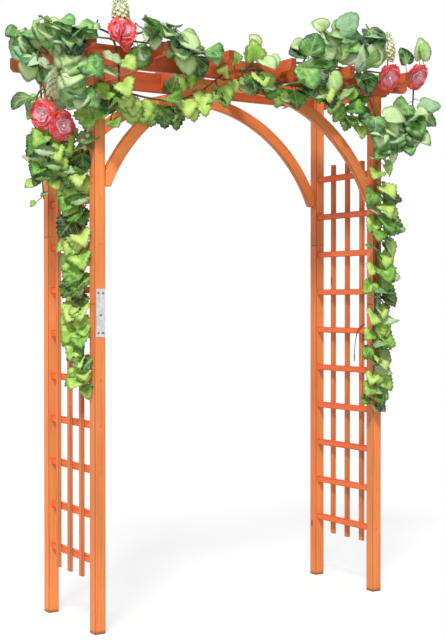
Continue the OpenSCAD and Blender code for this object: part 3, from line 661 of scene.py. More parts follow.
# Routes are in millimetres. A stem lies at R on top of the rafters, at F on the front of the beam
# and the arch, at P on the joint plate and at T on the outer face of the trellis.
R, F, P, T = 2124.8, -219.8, -221.8, 661.8
LEFT_OVER = [(-100, -236, R), (-260, -232, R), (-426, -240, R), (-568, -236, R), (-710, -240, R),
             (-800, -240, 2142), (-884, -240, 2172)]
LEFT_SIDE = [(-700, 40, R), (-750, 20, R), (-784, -10, 2080), (-786, -50, 1990), (-772, -80, 1900),
             (-756, -95, 1820)]
RIGHT_OVER = [(210, -224, R), (320, -236, R), (426, -240, R), (568, -236, R), (710, -240, R),
              (800, -240, 2146), (872, -240, 2180)]
BLOOMS = [(LEFT_SIDE, 0.9, (-0.9, -0.5, -0.1)), (LEFT_SIDE, 0.99, (0.1, -1, -0.2)),
          (LEFT_OVER, 0.50, (-0.3, -0.9, 0.4)), (LEFT_OVER, 0.54, (0.6, -0.8, 0)),
          (RIGHT_OVER, 0.58, (-0.05, -0.9, -0.5)), (RIGHT_OVER, 0.8, (0, -0.9, -0.5))]
SPIKES = [(LEFT_SIDE, 0.84, (0, -0.5, 0.85)), (LEFT_OVER, 0.49, (-0.1, -0.1, 1)),
          (RIGHT_OVER, 0.62, (-0.1, -0.1, 1))]


def vary(n):
    """Jumps about between 0 and 1 from one whole number to the next: the fraction of 0.618 n."""
    return (np.asarray(n, float) * 0.618) % 1


def spot(route, t):
    """The points at shares t of the route, counted in its steps, and the way each step runs."""
    reach = np.asarray(t) * (len(route) - 1)
    k = np.minimum(np.floor(reach).astype(int), len(route) - 2)
    step = route[k + 1] - route[k]
    return route[k] + step * (reach - k)[..., None], unit(step)


def stalk_base(route, t, direction):
    """Where a flower's stalk leaves the stem at share t, as in the CAD model."""
    (point,), (along,) = spot(np.array(route, float) / 1000, [t])
    direction = np.array(direction, float)
    root = unit(direction - (direction @ along) * along)
    return point + root * (STEM_R + LEAF_GAP)


BLOOM_SPOTS = [stalk_base(*bloom) + unit(np.array(bloom[2])) * (FLOWER_STALK + 0.020)
               for bloom in BLOOMS]
SPIKE_LINES = [(stalk_base(*spike) + unit(np.array(spike[2])) * FLOWER_STALK,
                unit(np.array(spike[2])) * SPIKE_L) for spike in SPIKES]
print("flowers", len(BLOOMS), "spikes", len(SPIKES))

# %% Where no leaf can grow
def in_roof(p):
    """Whether points lie inside a beam, or within 2 mm of the side of a rafter."""
    near = np.abs(p[..., :1] - RAFTER_X).min(-1)
    x, y, z = np.abs(p[..., 0]), np.abs(p[..., 1]), p[..., 2]
    rafters = (z > RAFTER_Z) & (z < RAFTER_TOP) & (y < RAFTER_HALF) & (near < 0.013)
    beams = (z > BEAM_Z) & (z < BEAM_TOP) & (x < BEAM_HALF)
    beams &= (y < ROW_OUT) & (y > ROW_OUT - BEAM_T)
    return rafters | beams


def in_flower(p):
    """Whether points lie within 50 mm of a flower's middle or 26 mm of a spike's line."""
    near = [np.linalg.norm(p - middle, axis=-1) < 0.050 for middle in BLOOM_SPOTS]
    for low, line in SPIKE_LINES:
        share = np.clip((p - low) @ line / (line @ line), 0, 1)[..., None]
        near.append(np.linalg.norm(p - low - share * line, axis=-1) < 0.026)
    return np.any(near, axis=0)


print("inside the front beam", in_roof(np.array([0.1, -0.2, 2.05])),
      "inside a flower", in_flower(BLOOM_SPOTS[0]))

# %% Where the leaves stand
UP = np.array([0.0, 0.0, 1.0])
SUNWARD = np.array([-0.25, -0.5, 0.6])


def leaf_places(route, count, length, outward, spread, droop, seed, bare=0.0, until=1.0, skip=0,
                ceiling=9.0, lowest=0.0, west=-9.0, east=9.0, under=0.2):
    """Leaf i stands at t = bare + (until - bare)(i + 0.7) / count, and leans by turns to either
    side. A leaf that would grow through the roof or a flower, or past the heights and sides given,
    is left out, and a share of them shows its underside."""
    i = np.arange(skip, count)
    t = bare + (until - bare) * (i + 0.7) / count
    point, along = spot(route, t)
    outward = np.array(outward, float)
    away = unit(outward - (along @ outward)[:, None] * along)
    across = np.cross(along, away)
    lean = np.where(i % 2 == 0, 1, -1) * math.radians(spread) * (0.45 + 0.55 * vary(seed + i))
    midrib = unit(away * np.cos(lean)[:, None] + across * np.sin(lean)[:, None]
                  - UP * (droop * (0.4 + vary(seed + i + 50)))[:, None])
    look = 0.6 * away + SUNWARD + across * (0.6 * (vary(seed + i + 90) - 0.5))[:, None]
    face = unit(look - (look * midrib).sum(1)[:, None] * midrib)
    wide = np.cross(midrib, face)
    root = unit(midrib - (midrib * along).sum(1)[:, None] * along)
    base = point + root * (STEM_R + LEAF_GAP)
    size = length * (0.72 + 0.28 * vary(seed + i + 20)) * (1 - 0.35 * t ** 3)
    s, w = np.meshgrid(np.linspace(0, 1, 11), np.linspace(-0.5, 0.5, 9))
    flat = midrib[:, None] * s.reshape(1, -1, 1) + wide[:, None] * w.reshape(1, -1, 1)
    grid = (base + midrib * STALK)[:, None] + flat * size[:, None, None]
    free = ~(in_roof(grid).any(1) | in_flower(grid).any(1)) & (grid[..., 2].max(1) < ceiling)
    free &= (grid[..., 2].min(1) > lowest)
    free &= (grid[..., 0].min(1) > west) & (grid[..., 0].max(1) < east)
    turned_over = np.where(vary(seed + i * 7 + 5) < under, -1.0, 1.0)[:, None]
    chance = vary(seed + i * 3 + 11)
    return [v[free] for v in (base, midrib, face * turned_over, wide * turned_over, size, chance)]

# %% Leaf surfaces
def blades(kind, base, midrib, face, wide, size, chance):
    """Flat (x, y) = v times the outline. Then x' = x cos f and z = |x| sin f for the fold f, the
    midrib bends back on a circle, and the edge ripples by v squared times sin(4 a)."""
    half = np.array(HALF[kind])
    outline = np.concatenate([[(0, -0.015)], half, [(0, 1)], (half * (-1, 1))[::-1]])
    count, n = len(base), len(outline)
    i = np.arange(count)
    slim, fold, bend, swing, phase = [value[:, None, None] for value in (
        0.92 + 0.16 * vary(i * 5 + 3), np.radians(5 + 17 * vary(chance * 577)),
        0.25 + 0.9 * vary(i * 7 + 1), (2 * vary(i * 11 + 5) - 1) * 0.16, 6.3 * chance)]
    v = np.array([0.5, 1.0])[None, :, None]
    x = outline[:, 0] * v * slim
    y = outline[:, 1] * v * np.ones((count, 1, 1))
    angle = np.arctan2(outline[:, 0], outline[:, 1] - 0.3)[None, None]
    ripple = 0.028 * v ** 2 * np.sin(4 * angle + phase)
    lift = np.abs(x) * np.sin(fold) - (1 - np.cos(bend * y)) / bend + ripple
    flat_x = x * np.cos(fold) + swing * y ** 2
    flat_y = np.sin(bend * y) / bend
    joint = base + midrib * STALK
    points = joint[:, None, None] + size[:, None, None, None] * (
        flat_x[..., None] * wide[:, None, None] + flat_y[..., None] * midrib[:, None, None]
        + lift[..., None] * face[:, None, None])
    points = np.concatenate([joint[:, None], points.reshape(count, -1, 3)], 1)
    blade = np.stack([x / slim, y, v * np.ones_like(x)], -1).reshape(count, -1, 3)
    blade = np.concatenate([np.zeros((count, 1, 3)), blade], 1)
    young = 0.35 * np.maximum(0, vary(chance * 977) - 0.55)
    own = np.stack([0.13 + 1.12 * chance, young, chance], 1)
    own = np.repeat(own[:, None], 1 + 2 * n, 1)
    here = 1 + np.arange(n)
    after = np.roll(here, -1)
    fan = np.stack([np.zeros(n, int), here, after], 1)
    band = np.stack([here, here + n, after + n, after], 1)
    return points, [copies(f, count, 1 + 2 * n) for f in (fan, band)], blade, own


print("points to a leaf", {kind: 1 + 2 * (2 * len(half) + 2) for kind, half in HALF.items()})

# %% [markdown]
# ## Stems and stalks
# A climbing stem is a green-brown tube that thins towards its tip, and each leaf hangs from it on
# a thin stalk that bows a little. Both are tubes: rings of points carried along a smooth line.

# %% Stem material and tubes
def bark(name, young, old):
    """Noise drawn out along Z is the bark, and it is greener where the noise is high."""
    material, tree, shader = new_material(name)
    place = add(tree, "TexCoord").outputs["Object"]
    drawn = add(tree, "Mapping", {"Vector": place, "Scale": (60, 60, 18)})
    noise = add(tree, "TexNoise", {"Vector": drawn, "Scale": 1.0, "Detail": 4.0})
    colour = add(tree, "ValToRGB", [noise], stops=[(0.3, old), (0.7, young)])
    bump = add(tree, "Bump", {"Strength": 0.6, "Distance": 0.001, "Height": noise})
    feed(shader, {"Base Color": colour, "Roughness": 0.7, "Normal": bump})
    return material


stem_skin = bark("climbing_stem_green_bark", "#7C8A45", "#4B3B25")
twig_skin = bark("bare_twig_brown_bark", "#5B4634", "#2C211B")


def smooth_line(route, steps=6):
    """Catmull-Rom: each step is a cubic through its two points, aimed along their neighbours."""
    route = np.array(route, float) / 1000
    p = np.concatenate([[2 * route[0] - route[1]], route, [2 * route[-1] - route[-2]]])
    t = np.linspace(0, 1, steps, endpoint=False)[None, :, None]
    a, b, c, d = p[:-3, None], p[1:-2, None], p[2:-1, None], p[3:, None]
    line = 0.5 * (2 * b + (c - a) * t + (2 * a - 5 * b + 4 * c - d) * t ** 2
                  + (3 * b - a - 3 * c + d) * t ** 3)
    return np.concatenate([line.reshape(-1, 3), route[-1:]])


def tubes(lines, radii, sides):
    """Each line is a row of points, and radii has one value for each. Ring = point + radius
    (a cos + b sin), a and b being square to the line."""
    rows = len(radii)
    lines = np.reshape(lines, (-1, rows, 3))
    along = unit(np.gradient(lines, axis=1))
    a = unit(np.cross(SLANT, along))
    b = np.cross(along, a)
    turn = np.linspace(0, 2 * np.pi, sides, endpoint=False)
    points = lines[:, :, None] + np.reshape(radii, (1, rows, 1, 1)) * (
        a[:, :, None] * np.cos(turn)[:, None] + b[:, :, None] * np.sin(turn)[:, None])
    walls, caps = [copies(f, len(lines), rows * sides) for f in ring_faces(sides, rows)]
    return points.reshape(-1, 3), walls, caps


def stem(route, radius, sides):
    """A tube along the route's smooth line; its radius falls to half at the tip."""
    line = smooth_line(route)
    return tubes(line, radius * np.linspace(1, 0.5, len(line)), sides)


def joined(parts):
    """Several (points, faces, faces ...) as one, with the faces' numbers moved on."""
    moved = np.cumsum([0] + [len(p[0]) for p in parts])
    faces = [f + m for p, m in zip(parts, moved) for f in p[1:]]
    return np.concatenate([p[0] for p in parts]), faces


print("finishes", stem_skin.name, twig_skin.name)

# %% [markdown]
# ## The vines
# Each main vine is a route of points in millimetres, the same that the CAD model uses, so its
# first set of leaves grows where the CAD leaves stand. More sets, and a few short shoots with
# routes of their own, fill the gaps that the plain leaves leave. Where a set must stay clear of
# something, such as the post or the end of a beam, it has a limit by height or by side.

# %% Dress a CAD node with vines
def grow(count, length, outward, spread, droop, seed, **limits):
    """One set of leaves for a route still to be given, with the numbers that leaf_places takes."""
    return lambda route: leaf_places(route, count, length, outward, spread, droop, seed, **limits)


def dress(node, slot, vines):
    """For one plant: a piece of stems and stalks, and one of blades for each kind of leaf."""
    leaves = {"ivy": [], "broad": []}
    stems = []
    for kind, route, *sets in vines:
        stems.append(stem(route, STEM_R, 10))
        leaves[kind] += [leaf_set(np.array(route, float) / 1000) for leaf_set in sets]
    for kind, found in leaves.items():
        if not found:
            continue
        base, midrib, face, wide, size, chance = [np.concatenate(v) for v in zip(*found)]
        # A stalk runs from 3 mm inside the stem to 1 mm past the blade's foot, and bows by 6 mm.
        s = np.linspace(0, 1, 4)[None, :, None]
        bow = face[:, None] * -0.006 * (4 * s * (1 - s))
        way = midrib[:, None]
        stalk = base[:, None] - way * 0.003 + way * (STALK + 0.004) * s + bow
        stems.append(tubes(stalk, np.linspace(0.0017, 0.0011, 4), 5))
        points, faces, blade, own = blades(kind, base, midrib, face, wide, size, chance)
        piece = make_piece(f"{node}_{kind}_blades", points, faces, leaf_skins[kind], node, slot,
                           blade=blade, leaf=own)
        modify(piece, "leaf_thickness", "SOLIDIFY", thickness=0.0009, offset=-1,
               material_offset=1, material_offset_rim=1)
        print(node, kind, "leaves", len(base))
    make_piece(f"{node}_stems", *joined(stems), [stem_skin], node, slot)


# Most leaves over the left of the roof stay below LOW, in metres.
LOW = 2.175
dress("plant_left_top", "broad_leaf", [
    ("broad", LEFT_OVER,
     grow(23, 0.112, (-0.2, -1, 0.1), 75, 0.6, 6, skip=14, ceiling=LOW),
     grow(12, 0.08, (-0.1, -1, 0.5), 55, 0.1, 487, bare=0.06, until=0.46, ceiling=2.205),
     grow(9, 0.095, (0, -1, -0.1), 60, 0.9, 491, bare=0.1, until=0.4),
     grow(5, 0.116, (0.1, -1, 0.1), 50, 0.5, 495, bare=0.64, until=0.8, ceiling=LOW),
     grow(20, 0.112, (-0.4, -1, 0.2), 65, 1.1, 501, bare=0.6, east=-0.625, ceiling=LOW),
     grow(12, 0.1, (-0.3, -1, 0.8), 75, 0.3, 517, bare=0.66, ceiling=LOW),
     grow(16, 0.116, (-0.2, -1, 0.2), 70, 1.3, 907, bare=0.6, east=-0.65, under=0.35, ceiling=LOW),
     grow(6, 0.1, (0, -1, 0.1), 40, 0.9, 1011, bare=0.88, ceiling=LOW, west=-0.91)),
    ("broad", [(-730, -238, R), (-738, -254, 2080), (-734, -260, 2020), (-728, -258, 1970),
               (-720, -248, 1925)],
     grow(16, 0.112, (-0.2, -1, 0.1), 80, 1.2, 591, under=0.5, east=-0.67),
     grow(9, 0.105, (-0.1, -1, 0.2), 60, 1.4, 599, under=0.4, east=-0.67),
     grow(14, 0.108, (-0.6, -1, 0.1), 65, 1.2, 913, east=-0.67, west=-0.86)),
    ("ivy", [(-606, -236, R), (-600, -256, 2110), (-588, -262, 2050), (-584, -262, 1970),
             (-596, -254, 1890), (-612, -246, 1830)],
     grow(10, 0.098, (-0.9, -0.8, 0.1), 50, 0.6, 32, skip=4),
     grow(4, 0.074, (-0.2, -1, 0.1), 50, 1.2, 931, until=0.4)),
    ("broad", LEFT_SIDE,
     grow(14, 0.112, (-0.4, -1, 0.1), 60, 1.2, 47, bare=0.25, west=-0.865),
     grow(20, 0.108, (-0.3, -0.9, 0.1), 75, 1.4, 551, bare=0.1, under=0.35, west=-0.865),
     grow(16, 0.11, (-0.1, -1, 0.2), 60, 1.3, 919, bare=0.05, until=0.8, west=-0.865, under=0.3),
     grow(7, 0.1, (-0.9, -0.3, 0.3), 60, 0.9, 569, bare=0.66)),
    ("ivy", [(-756, -95, 1820), (-766, -86, 1775), (-772, -70, 1715), (-764, -70, 1650)],
     grow(14, 0.088, (-0.5, -0.9, 0.1), 75, 1.0, 809),
     grow(10, 0.085, (-0.5, -0.9, 0.1), 40, 1.3, 821)),
    ("broad", [(-778, -78, 1960), (-800, -66, 1945), (-812, -62, 1915), (-812, -60, 1885)],
     grow(3, 0.1, (-1, -0.5, 0.1), 40, 1.0, 871, bare=0.4)),
    ("ivy", [(-785, -30, 2035), (-780, -36, 1900), (-788, -44, 1780), (-786, -52, 1660),
             (-782, -58, 1560)],
     grow(9, 0.05, (-0.9, -0.6, 0.1), 75, 0.8, 53, bare=0.2)),
    ("broad", [(-524, -236, R), (-524, -252, 2150), (-518, -258, 2172), (-514, -258, 2188)],
     grow(5, 0.122, (1, -0.6, 0), 30, 0.15, 954, bare=0.3, under=0.3),
     grow(3, 0.1, (0.6, -1, 0), 60, 0.5, 966, bare=0.2)),
    ("broad", [(-446, -261, 2162), (-442, -262, 2176), (-436, -262, 2190)],
     grow(4, 0.106, (0.2, -1, 0), 70, 0.5, 972, under=0.4, ceiling=2.225),
     grow(3, 0.104, (1, -0.5, 0), 20, 0.2, 978, ceiling=2.225)),
    ("broad", [(-362, -261, 2166), (-356, -262, 2178), (-350, -262, 2190)],
     grow(4, 0.104, (0.2, -1, 0), 70, 0.5, 984, ceiling=2.225),
     grow(2, 0.1, (1, -0.5, 0), 10, 0.3, 990, ceiling=2.225)),
    ("broad", [(-524, -236, R), (-506, -250, 2150), (-440, -262, 2166), (-360, -262, 2170),
               (-280, -250, 2158)],
     grow(22, 0.088, (0, -1, 0.2), 80, 0.9, 881, under=0.4, ceiling=2.205),
     grow(12, 0.09, (0, -1, 0.2), 110, 0.1, 885, ceiling=2.205)),
    ("broad", [(-400, 244, R), (-520, 240, R), (-640, 262, 2132), (-684, 322, 2124)],
     grow(8, 0.112, (-0.3, 0.9, 0.1), 65, 0.2, 63)),
    ("broad", [(-716, 150, R), (-748, 120, 2150), (-780, 90, 2182), (-792, 78, 2200)],
     grow(12, 0.118, (-0.4, -0.9, 0.2), 75, 0.9, 583, bare=0.2, ceiling=2.235, west=-0.885),
     grow(10, 0.125, (0.2, -0.9, 0.3), 70, 1.0, 39, bare=0.5, ceiling=2.235, west=-0.885),
     grow(4, 0.112, (-0.7, -0.8, 0), 40, -0.3, 1003, bare=0.7, ceiling=2.25, west=-0.895)),
])
dress("plant_right_top", "broad_leaf", [
    ("broad", RIGHT_OVER,
     grow(20, 0.112, (0.05, -0.95, 0.3), 75, 0.1, 106),
     grow(20, 0.112, (0.1, -1, 0.3), 65, 1.0, 601, bare=0.3, until=0.76, lowest=2.03, under=0.5),
     grow(3, 0.165, (0.1, -0.9, 0.1), 50, -1.0, 39, bare=0.84, east=0.9)),
    ("broad", [(284, -170, R), (288, -192, 2160), (292, -206, 2200)],
     grow(4, 0.1, (-0.2, -0.9, 0.4), 80, 0, 127, bare=0.45)),
    ("broad", [(426, -180, R), (418, -200, 2190), (402, -212, 2266)],
     grow(6, 0.112, (-0.2, -0.9, 0.4), 80, 0, 131, bare=0.4),
     grow(7, 0.112, (-0.1, -0.9, 0.4), 60, 0.5, 617, bare=0.3, under=0.4),
     grow(2, 0.15, (0.9, -0.6, 0), 30, -0.8, 621, bare=0.75),
     grow(2, 0.12, (-0.9, -0.6, 0), 30, -0.7, 625, bare=0.7)),
    ("broad", [(568, -160, R), (588, -200, 2185), (602, -216, 2250)],
     grow(5, 0.112, (0.2, -0.9, 0.4), 80, 0, 137, bare=0.4),
     grow(4, 0.105, (0.2, -0.9, 0.4), 60, 0.5, 631, bare=0.3)),
    ("broad", [(602, -216, 2250), (590, -224, 2285), (564, -228, 2316)],
     grow(4, 0.128, (0, -1, 0), 15, 0.9, 650, bare=0.5)),
    ("broad", [(500, -236, R), (508, -262, 2110), (530, -268, 2050), (572, -264, 1970),
               (612, -252, 1900), (650, -240, 1820)],
     grow(11, 0.112, (-0.1, -1, 0.1), 75, 0.35, 141, skip=6),
     grow(3, 0.112, (-0.2, -1, 0.1), 40, 1.1, 147, until=0.2, under=0.7),
     grow(10, 0.105, (0.1, -1, 0.1), 60, 1.2, 643, bare=0.6)),
    ("broad", [(790, -240, 2141), (796, -252, 2080), (790, -254, 2000), (772, -250, 1920),
               (758, -246, 1850)],
     grow(9, 0.112, (-0.3, -1, 0.1), 70, 0.35, 157, skip=3),
     grow(14, 0.105, (-1, -0.8, 0.1), 50, 1.2, 659, bare=0.42, under=0.4)),
    ("broad", [(400, 244, R), (520, 240, R), (640, 262, 2132), (684, 322, 2124)],
     grow(8, 0.112, (0.3, 0.9, 0.3), 65, 0.2, 162)),
])
dress("plant_garland", "ivy", [
    ("ivy", [(-640, F, 1975), (-560, -224, 1948), (-440, -222, 1930), (-325, F, 1932),
             (-217, F, 1976), (-107, F, 2052), (0, F, 2088)],
     grow(9, 0.09, (0, -1, 0.1), 80, 0.5, 208, until=0.41, ceiling=2.0),
     grow(22, 0.084, (0, -1, 0.1), 80, 0.4, 208, skip=9),
     grow(14, 0.104, (-0.2, -1, 0.1), 60, 1.3, 701, ceiling=2.01)),
    ("ivy", [(-40, F, 2072), (50, F, 2084), (118, F, 2041), (200, F, 2041), (300, F, 2052),
             (400, F, 2040), (440, -224, 1990), (500, -226, 1940), (560, -224, 1900)],
     grow(22, 0.084, (0, -1, 0.1), 80, 0.4, 233), grow(18, 0.095, (-0.2, -1, 0.1), 45, 1.0, 719)),
    ("broad", [(0, F, 2088), (26, -232, 2126), (64, -238, 2150)],
     grow(3, 0.084, (0, -1, 0.3), 80, 0, 251, bare=0.4)),
])
dress("plant_trail_left", "ivy", [
    ("ivy", [(-T, -192, 1960), (-T, -160, 1820), (-T, -112, 1690), (-T, -96, 1560),
             (-T, -112, 1412), (-T, -97, 1268), (-T, -116, 1124), (-T, -132, 990),
             (-T, -150, 900)],
     grow(34, 0.084, (-1, -0.12, 0.1), 75, 0.7, 308),
     grow(30, 0.094, (-0.8, -0.7, 0.1), 32, 1.1, 733),
     grow(18, 0.085, (-0.7, -1, 0.1), 40, 1.0, 741, east=-0.652)),
])
dress("plant_trail_right", "ivy", [
    ("ivy", [(636, P, 1840), (622, P, 1644), (640, P, 1524), (625, P, 1361), (620, P, 1198),
             (608, P, 1035), (612, P, 900), (590, P, 790)],
     grow(34, 0.084, (0.1, -1, 0.1), 75, 0.7, 403),
     grow(28, 0.094, (0.5, -1, 0.1), 36, 1.0, 751, bare=0.1)),
])

# %% [markdown]
# ## Bare twigs and buds
# A forked twig with no leaves on it reaches from the flowers towards the left, a dead tendril
# hangs off a rail, and a few pale buds stand on the left side. All are tubes, and a bud is a tube
# whose radius swells and closes.

# %% Twigs and buds
twig = [[(-572, -236, 2128), (-622, -248, 2143), (-673, -250, 2155), (-724, -250, 2163)],
        [(-664, -250, 2153), (-668, -254, 2166), (-664, -256, 2182)]]
tendril = [[(624, -150, 1098), (617, -128, 1084), (615, -110, 1062), (615, -97, 1010),
            (615, -92, 962)], [(615, -92, 972), (613, -96, 950), (616, -88, 944)]]
make_piece("bare_twig", *joined([stem(line, 0.0046, 8) for line in twig]), [twig_skin],
           "plant_left_top", "broad_leaf")
make_piece("dead_tendril", *joined([stem(line, 0.0026, 8) for line in tendril]), [twig_skin],
           "plant_trail_right", "ivy")

bud_skin = bark("closed_bud_cream", "#F6F0DC", "#DCD3A8")
BUD_L = 0.014
rows = np.linspace(0, 1, 10)
swell = 0.0014 + 0.0072 * np.sin(np.pi * np.clip(2.2 * rows - 1.2, 0, 1) ** 0.8)
buds = []
for ends in (((-664, -180, 1800), (-676, -198, 1782)), ((-664, -176, 1770), (-692, -194, 1762)),
             ((-664, -172, 1740), (-684, -192, 1738))):
    foot, tip = np.array(ends) / 1000
    line = foot + (tip + BUD_L * unit(tip - foot) - foot) * rows[:, None]
    buds.append(tubes(line, swell, 10))
make_piece("closed_buds", *joined(buds), [bud_skin], "plant_blooms", "petal")
print("twig forks", len(twig), "tendril forks", len(tendril), "buds", len(buds))

# %% [markdown]
# ## Flowers
# The flowers are double, like a hollyhock's: an outer whorl of broad ruffled petals, coral red at
# the rim, and smaller paler ones crowded round a pale column of stamens. One petal is a surface of
# two parameters, u across and v along, and a whorl is that surface turned round the axis.

# %% Petal material
def petal_skin(name, heart, middle, rim):
    """Colour runs from heart to rim along v, with fine darker veins that fan out with u."""
    material, tree, shader = new_material(name)
    own = layer(tree, "petal")
    place = add(tree, "TexCoord").outputs["Object"]
    noise = add(tree, "TexNoise", {"Vector": place, "Scale": 70.0, "Detail": 2.0})
    reach = add(tree, "Math", (noise, 0.3, own["Y"]), operation="MULTIPLY_ADD")
    colour = add(tree, "ValToRGB", [reach], stops=[(0.36, heart), (0.66, middle), (1.0, rim)])
    lines = stripes(tree, own["X"], 5.5, 0.14, 0.04, 0.16)
    colour = add(tree, "Mix", {0: lines, 6: colour, 7: linear(rim, 0.85)}, data_type="RGBA")
    bump = add(tree, "Bump", {"Strength": 0.4, "Distance": 0.001, "Height": lines})
    feed(shader, {"Base Color": colour.outputs[2], "Roughness": 0.6, "Specular IOR Level": 0.2,
                  "Subsurface Weight": 0.08, "Subsurface Radius": (1.0, 0.6, 0.6),
                  "Subsurface Scale": 0.004, "Normal": bump})
    return material


outer_petal = petal_skin("hollyhock_petal_outer", "#FFE6EE", "#FFA2B4", "#FF5E50")
inner_petal = petal_skin("hollyhock_petal_inner", "#FFFFFF", "#FFDAE4", "#FFA0B4")
column_skin = bark("stamen_column_pollen", "#F8EBC9", "#E9B9A8")
calyx_skin = bark("calyx_green_sepal", "#8FB25A", "#5C8A3C")
print("flower finishes", [m.name for m in (outer_petal, inner_petal, column_skin, calyx_skin)])

# %% Flower surfaces
def axis_frame(direction):
    """Three unit vectors, of which the third is the direction."""
    w = unit(np.array(direction, float))
    u = unit(np.cross(SLANT, w))
    return np.stack([u, np.cross(w, u), w])


def whorl(radius, petals, width, rise, cup, ruffle, start, seed, twist=0.004, rows=9, columns=13):
    """Along v: radial = radius v, height = rise v - cup v^2.6. Across u: half width = width
    sin(pi (0.1 + 0.78 v))^0.8, the edges lift by u^2, and v^3 sin(5 u + phase) ruffles the rim."""
    i = np.arange(petals)
    v = np.linspace(0.04, 1, rows)[None, :, None]
    u = np.linspace(-1, 1, columns)[None, None]
    phase, long, turn = [value[:, None, None] for value in (
        vary(seed + i * 3) * 6.3, 0.9 + 0.2 * vary(seed + 7 + i),
        start + 2 * np.pi * i / petals + 0.2 * (vary(seed + i) - 0.5))]
    side = width * np.sin(np.pi * (0.1 + 0.78 * v)) ** 0.8 * u
    radial = radius * long * v * (1 - 0.10 * u ** 2 * v + 0.05 * v ** 4 * np.sin(7 * u + phase))
    height = (rise * v - cup * v ** 2.6 + 0.16 * radius * u ** 2 * v
              + ruffle * v ** 3 * np.sin(5 * u + phase) + twist * u * v)
    x = radial * np.cos(turn) - side * np.sin(turn)
    y = radial * np.sin(turn) + side * np.cos(turn)
    points = np.stack([x, y, height + 0 * x], -1)
    uv = np.stack([u + 0 * x, v + 0 * x, 0 * x], -1)
    a = np.arange(rows * columns).reshape(rows, columns)
    one = np.stack([a[:-1, :-1], a[1:, :-1], a[1:, 1:], a[:-1, 1:]], -1).reshape(-1, 4)
    return points.reshape(-1, 3), copies(one, petals, rows * columns), uv.reshape(-1, 3)


# Share of the flower's radius, petals, their width, rise, cup and ruffle, and their finish.
WHORLS = ((1.05, 5, 0.043, 0.016, 0.010, 0.0024, 0), (0.82, 5, 0.036, 0.024, 0.010, 0.0026, 0),
          (0.54, 5, 0.023, 0.028, 0.008, 0.0024, 1), (0.30, 3, 0.013, 0.028, 0.004, 0.0016, 1))
petals, skins, stamens, calyxes = [], [], [], []
for k, bloom in enumerate(BLOOMS):
    base, turn = stalk_base(*bloom), axis_frame(bloom[2])
    top = base + turn[2] * FLOWER_STALK
    for share, *shape, skin in WHORLS:
        radius = BLOOM_R * share
        start, seed = 0.9 * k + radius * 60, 17 * k + int(radius * 1000)
        points, faces, uv = whorl(radius, *shape, start, seed)
        petals.append((points @ turn + top, faces, uv))
        skins.append(np.full(len(faces), skin))
    rows = np.linspace(0, 1, 12)
    line = top - turn[2] * 0.004 + turn[2] * 0.036 * rows[:, None]
    swell = (0.0045 + 0.0022 * np.sin(rows * 19) * rows) * (1.05 - rows ** 6)
    stamens.append(tubes(line, swell, 12))
    line = base + turn[2] * (FLOWER_STALK + 0.003) * np.linspace(0, 1, 6)[:, None]
    calyxes.append(tubes(line, (0.0017, 0.0017, 0.0017, 0.003, 0.007, 0.0085), 12))
flower = make_piece("bloom_petals", *joined([p[:2] for p in petals]), [outer_petal, inner_petal],
                    "plant_blooms", "petal", np.concatenate(skins),
                    petal=np.concatenate([p[2] for p in petals]))
modify(flower, "petal_thickness", "SOLIDIFY", thickness=0.0006, offset=0)
make_piece("bloom_stamens", *joined(stamens), [column_skin], "plant_blooms", "petal")
make_piece("bloom_calyxes", *joined(calyxes), [calyx_skin], "plant_blooms", "petal")
print("flowers", len(BLOOMS), "petals", len(BLOOMS) * sum(row[1] for row in WHORLS))

# %% [markdown]
# ## Flower spikes
# A spike carries small creamy florets round a green rod, open at the bottom and still in bud at
# the top. They stand at the golden angle from each other, as they grow. Each floret is a cup of
# five petals, and each bud a drop, with a few dozen faces.

# %% Floret materials
def floret_skin(name, foot, tip):
    """Greenish at the base of the floret and cream at the rim, along v."""
    material, tree, shader = new_material(name)
    place = add(tree, "TexCoord").outputs["Object"]
    noise = add(tree, "TexNoise", {"Vector": place, "Scale": 120.0, "Detail": 2.0})
    reach = add(tree, "Math", (noise, 0.5, layer(tree, "petal")["Y"]), operation="MULTIPLY_ADD")
    colour = add(tree, "ValToRGB", [reach], stops=[(0.3, foot), (1.0, tip)])
    bump = add(tree, "Bump", {"Strength": 0.4, "Distance": 0.0008, "Height": noise})
    feed(shader, {"Base Color": colour, "Roughness": 0.65, "Normal": bump})
    return material


cream_floret = floret_skin("spike_floret_cream", "#C0D67A", "#F8F8D0")
rod_skin = bark("spike_rod_green", "#9DB25C", "#6B8A3E")
print("spike finishes", cream_floret.name, rod_skin.name)

# %% Flower spikes
FLORETS, GOLDEN_ANGLE = 84, 2.39996
CUP_R, CUP_H = (0.2, 0.75, 1.15, 0.7, 0.12), (0.0, 0.5, 0.95, 0.72, 0.5)
BUD_R, BUD_H = (0.2, 0.6, 0.66, 0.42, 0.08), (0.0, 0.5, 1.1, 1.7, 2.0)
SHADE_V = (0.1, 0.5, 1.0, 0.75, 0.4)


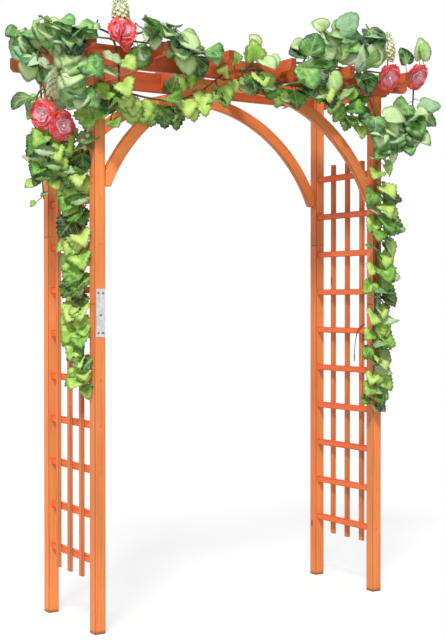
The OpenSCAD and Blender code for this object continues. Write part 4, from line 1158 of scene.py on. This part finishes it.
def florets(top, axes):
    """Floret i stands at height t L, turned by the golden angle times i, at the spike's own radius
    there: R sin(pi t^0.75)^0.7. A cup's five rings go up its outside and down inside, and a bud's
    close on top."""
    i = np.arange(FLORETS)
    t = 0.05 + 0.93 * (i + 0.5) / FLORETS
    reach = SPIKE_R * np.sin(np.pi * np.minimum(t, 0.985) ** 0.75) ** 0.7
    size = (0.0100 * (1 - 0.5 * t))[:, None, None, None]
    turn = GOLDEN_ANGLE * i
    out = unit(np.stack([np.cos(turn), np.sin(turn), 0.25 + 0.8 * t], 1))
    side = unit(np.cross(out, (0, 0, 1.0)))
    up = np.cross(out, side)
    centre = np.stack([np.cos(turn) * reach * 0.72, np.sin(turn) * reach * 0.72, SPIKE_L * t], 1)
    a = np.linspace(0, 2 * np.pi, 10, endpoint=False)
    cup_r, cup_h, bud_r, bud_h, v = [np.array(rings)[None, :, None]
                                     for rings in (CUP_R, CUP_H, BUD_R, BUD_H, SHADE_V)]
    lobe = 1 + 0.28 * np.cos(5 * a) * (cup_r > 0.6)
    bud = (t > 0.55)[:, None, None]
    radial = np.where(bud, bud_r, cup_r * lobe)
    height = np.where(bud, bud_h, cup_h + 0.08 * np.cos(5 * a) * cup_r)
    points = centre[:, None, None] + size * (
        (radial * np.cos(a))[..., None] * side[:, None, None]
        + (radial * np.sin(a))[..., None] * up[:, None, None]
        + (height * np.ones_like(radial))[..., None] * out[:, None, None])
    faces = [copies(f, FLORETS, 50) for f in ring_faces(10, 5)]
    own = np.stack([0 * radial, v + 0 * radial, 0 * radial], -1).reshape(-1, 3)
    return points.reshape(-1, 3) @ axes + top, *faces, own


flower_parts, rods = [], []
for spike in SPIKES:
    base, turn = stalk_base(*spike), axis_frame(spike[2])
    flower_parts.append(florets(base + turn[2] * FLOWER_STALK, turn))
    line = base + turn[2] * (FLOWER_STALK + SPIKE_L * 0.93) * np.linspace(0, 1, 8)[:, None]
    rods.append(tubes(line, np.linspace(0.0030, 0.0012, 8), 8))
make_piece("spike_florets", *joined([p[:3] for p in flower_parts]), [cream_floret],
           "plant_spikes", "spike", petal=np.concatenate([p[3] for p in flower_parts]))
make_piece("spike_rods", *joined(rods), [rod_skin], "plant_spikes", "spike")
print("florets", len(SPIKES) * FLORETS)
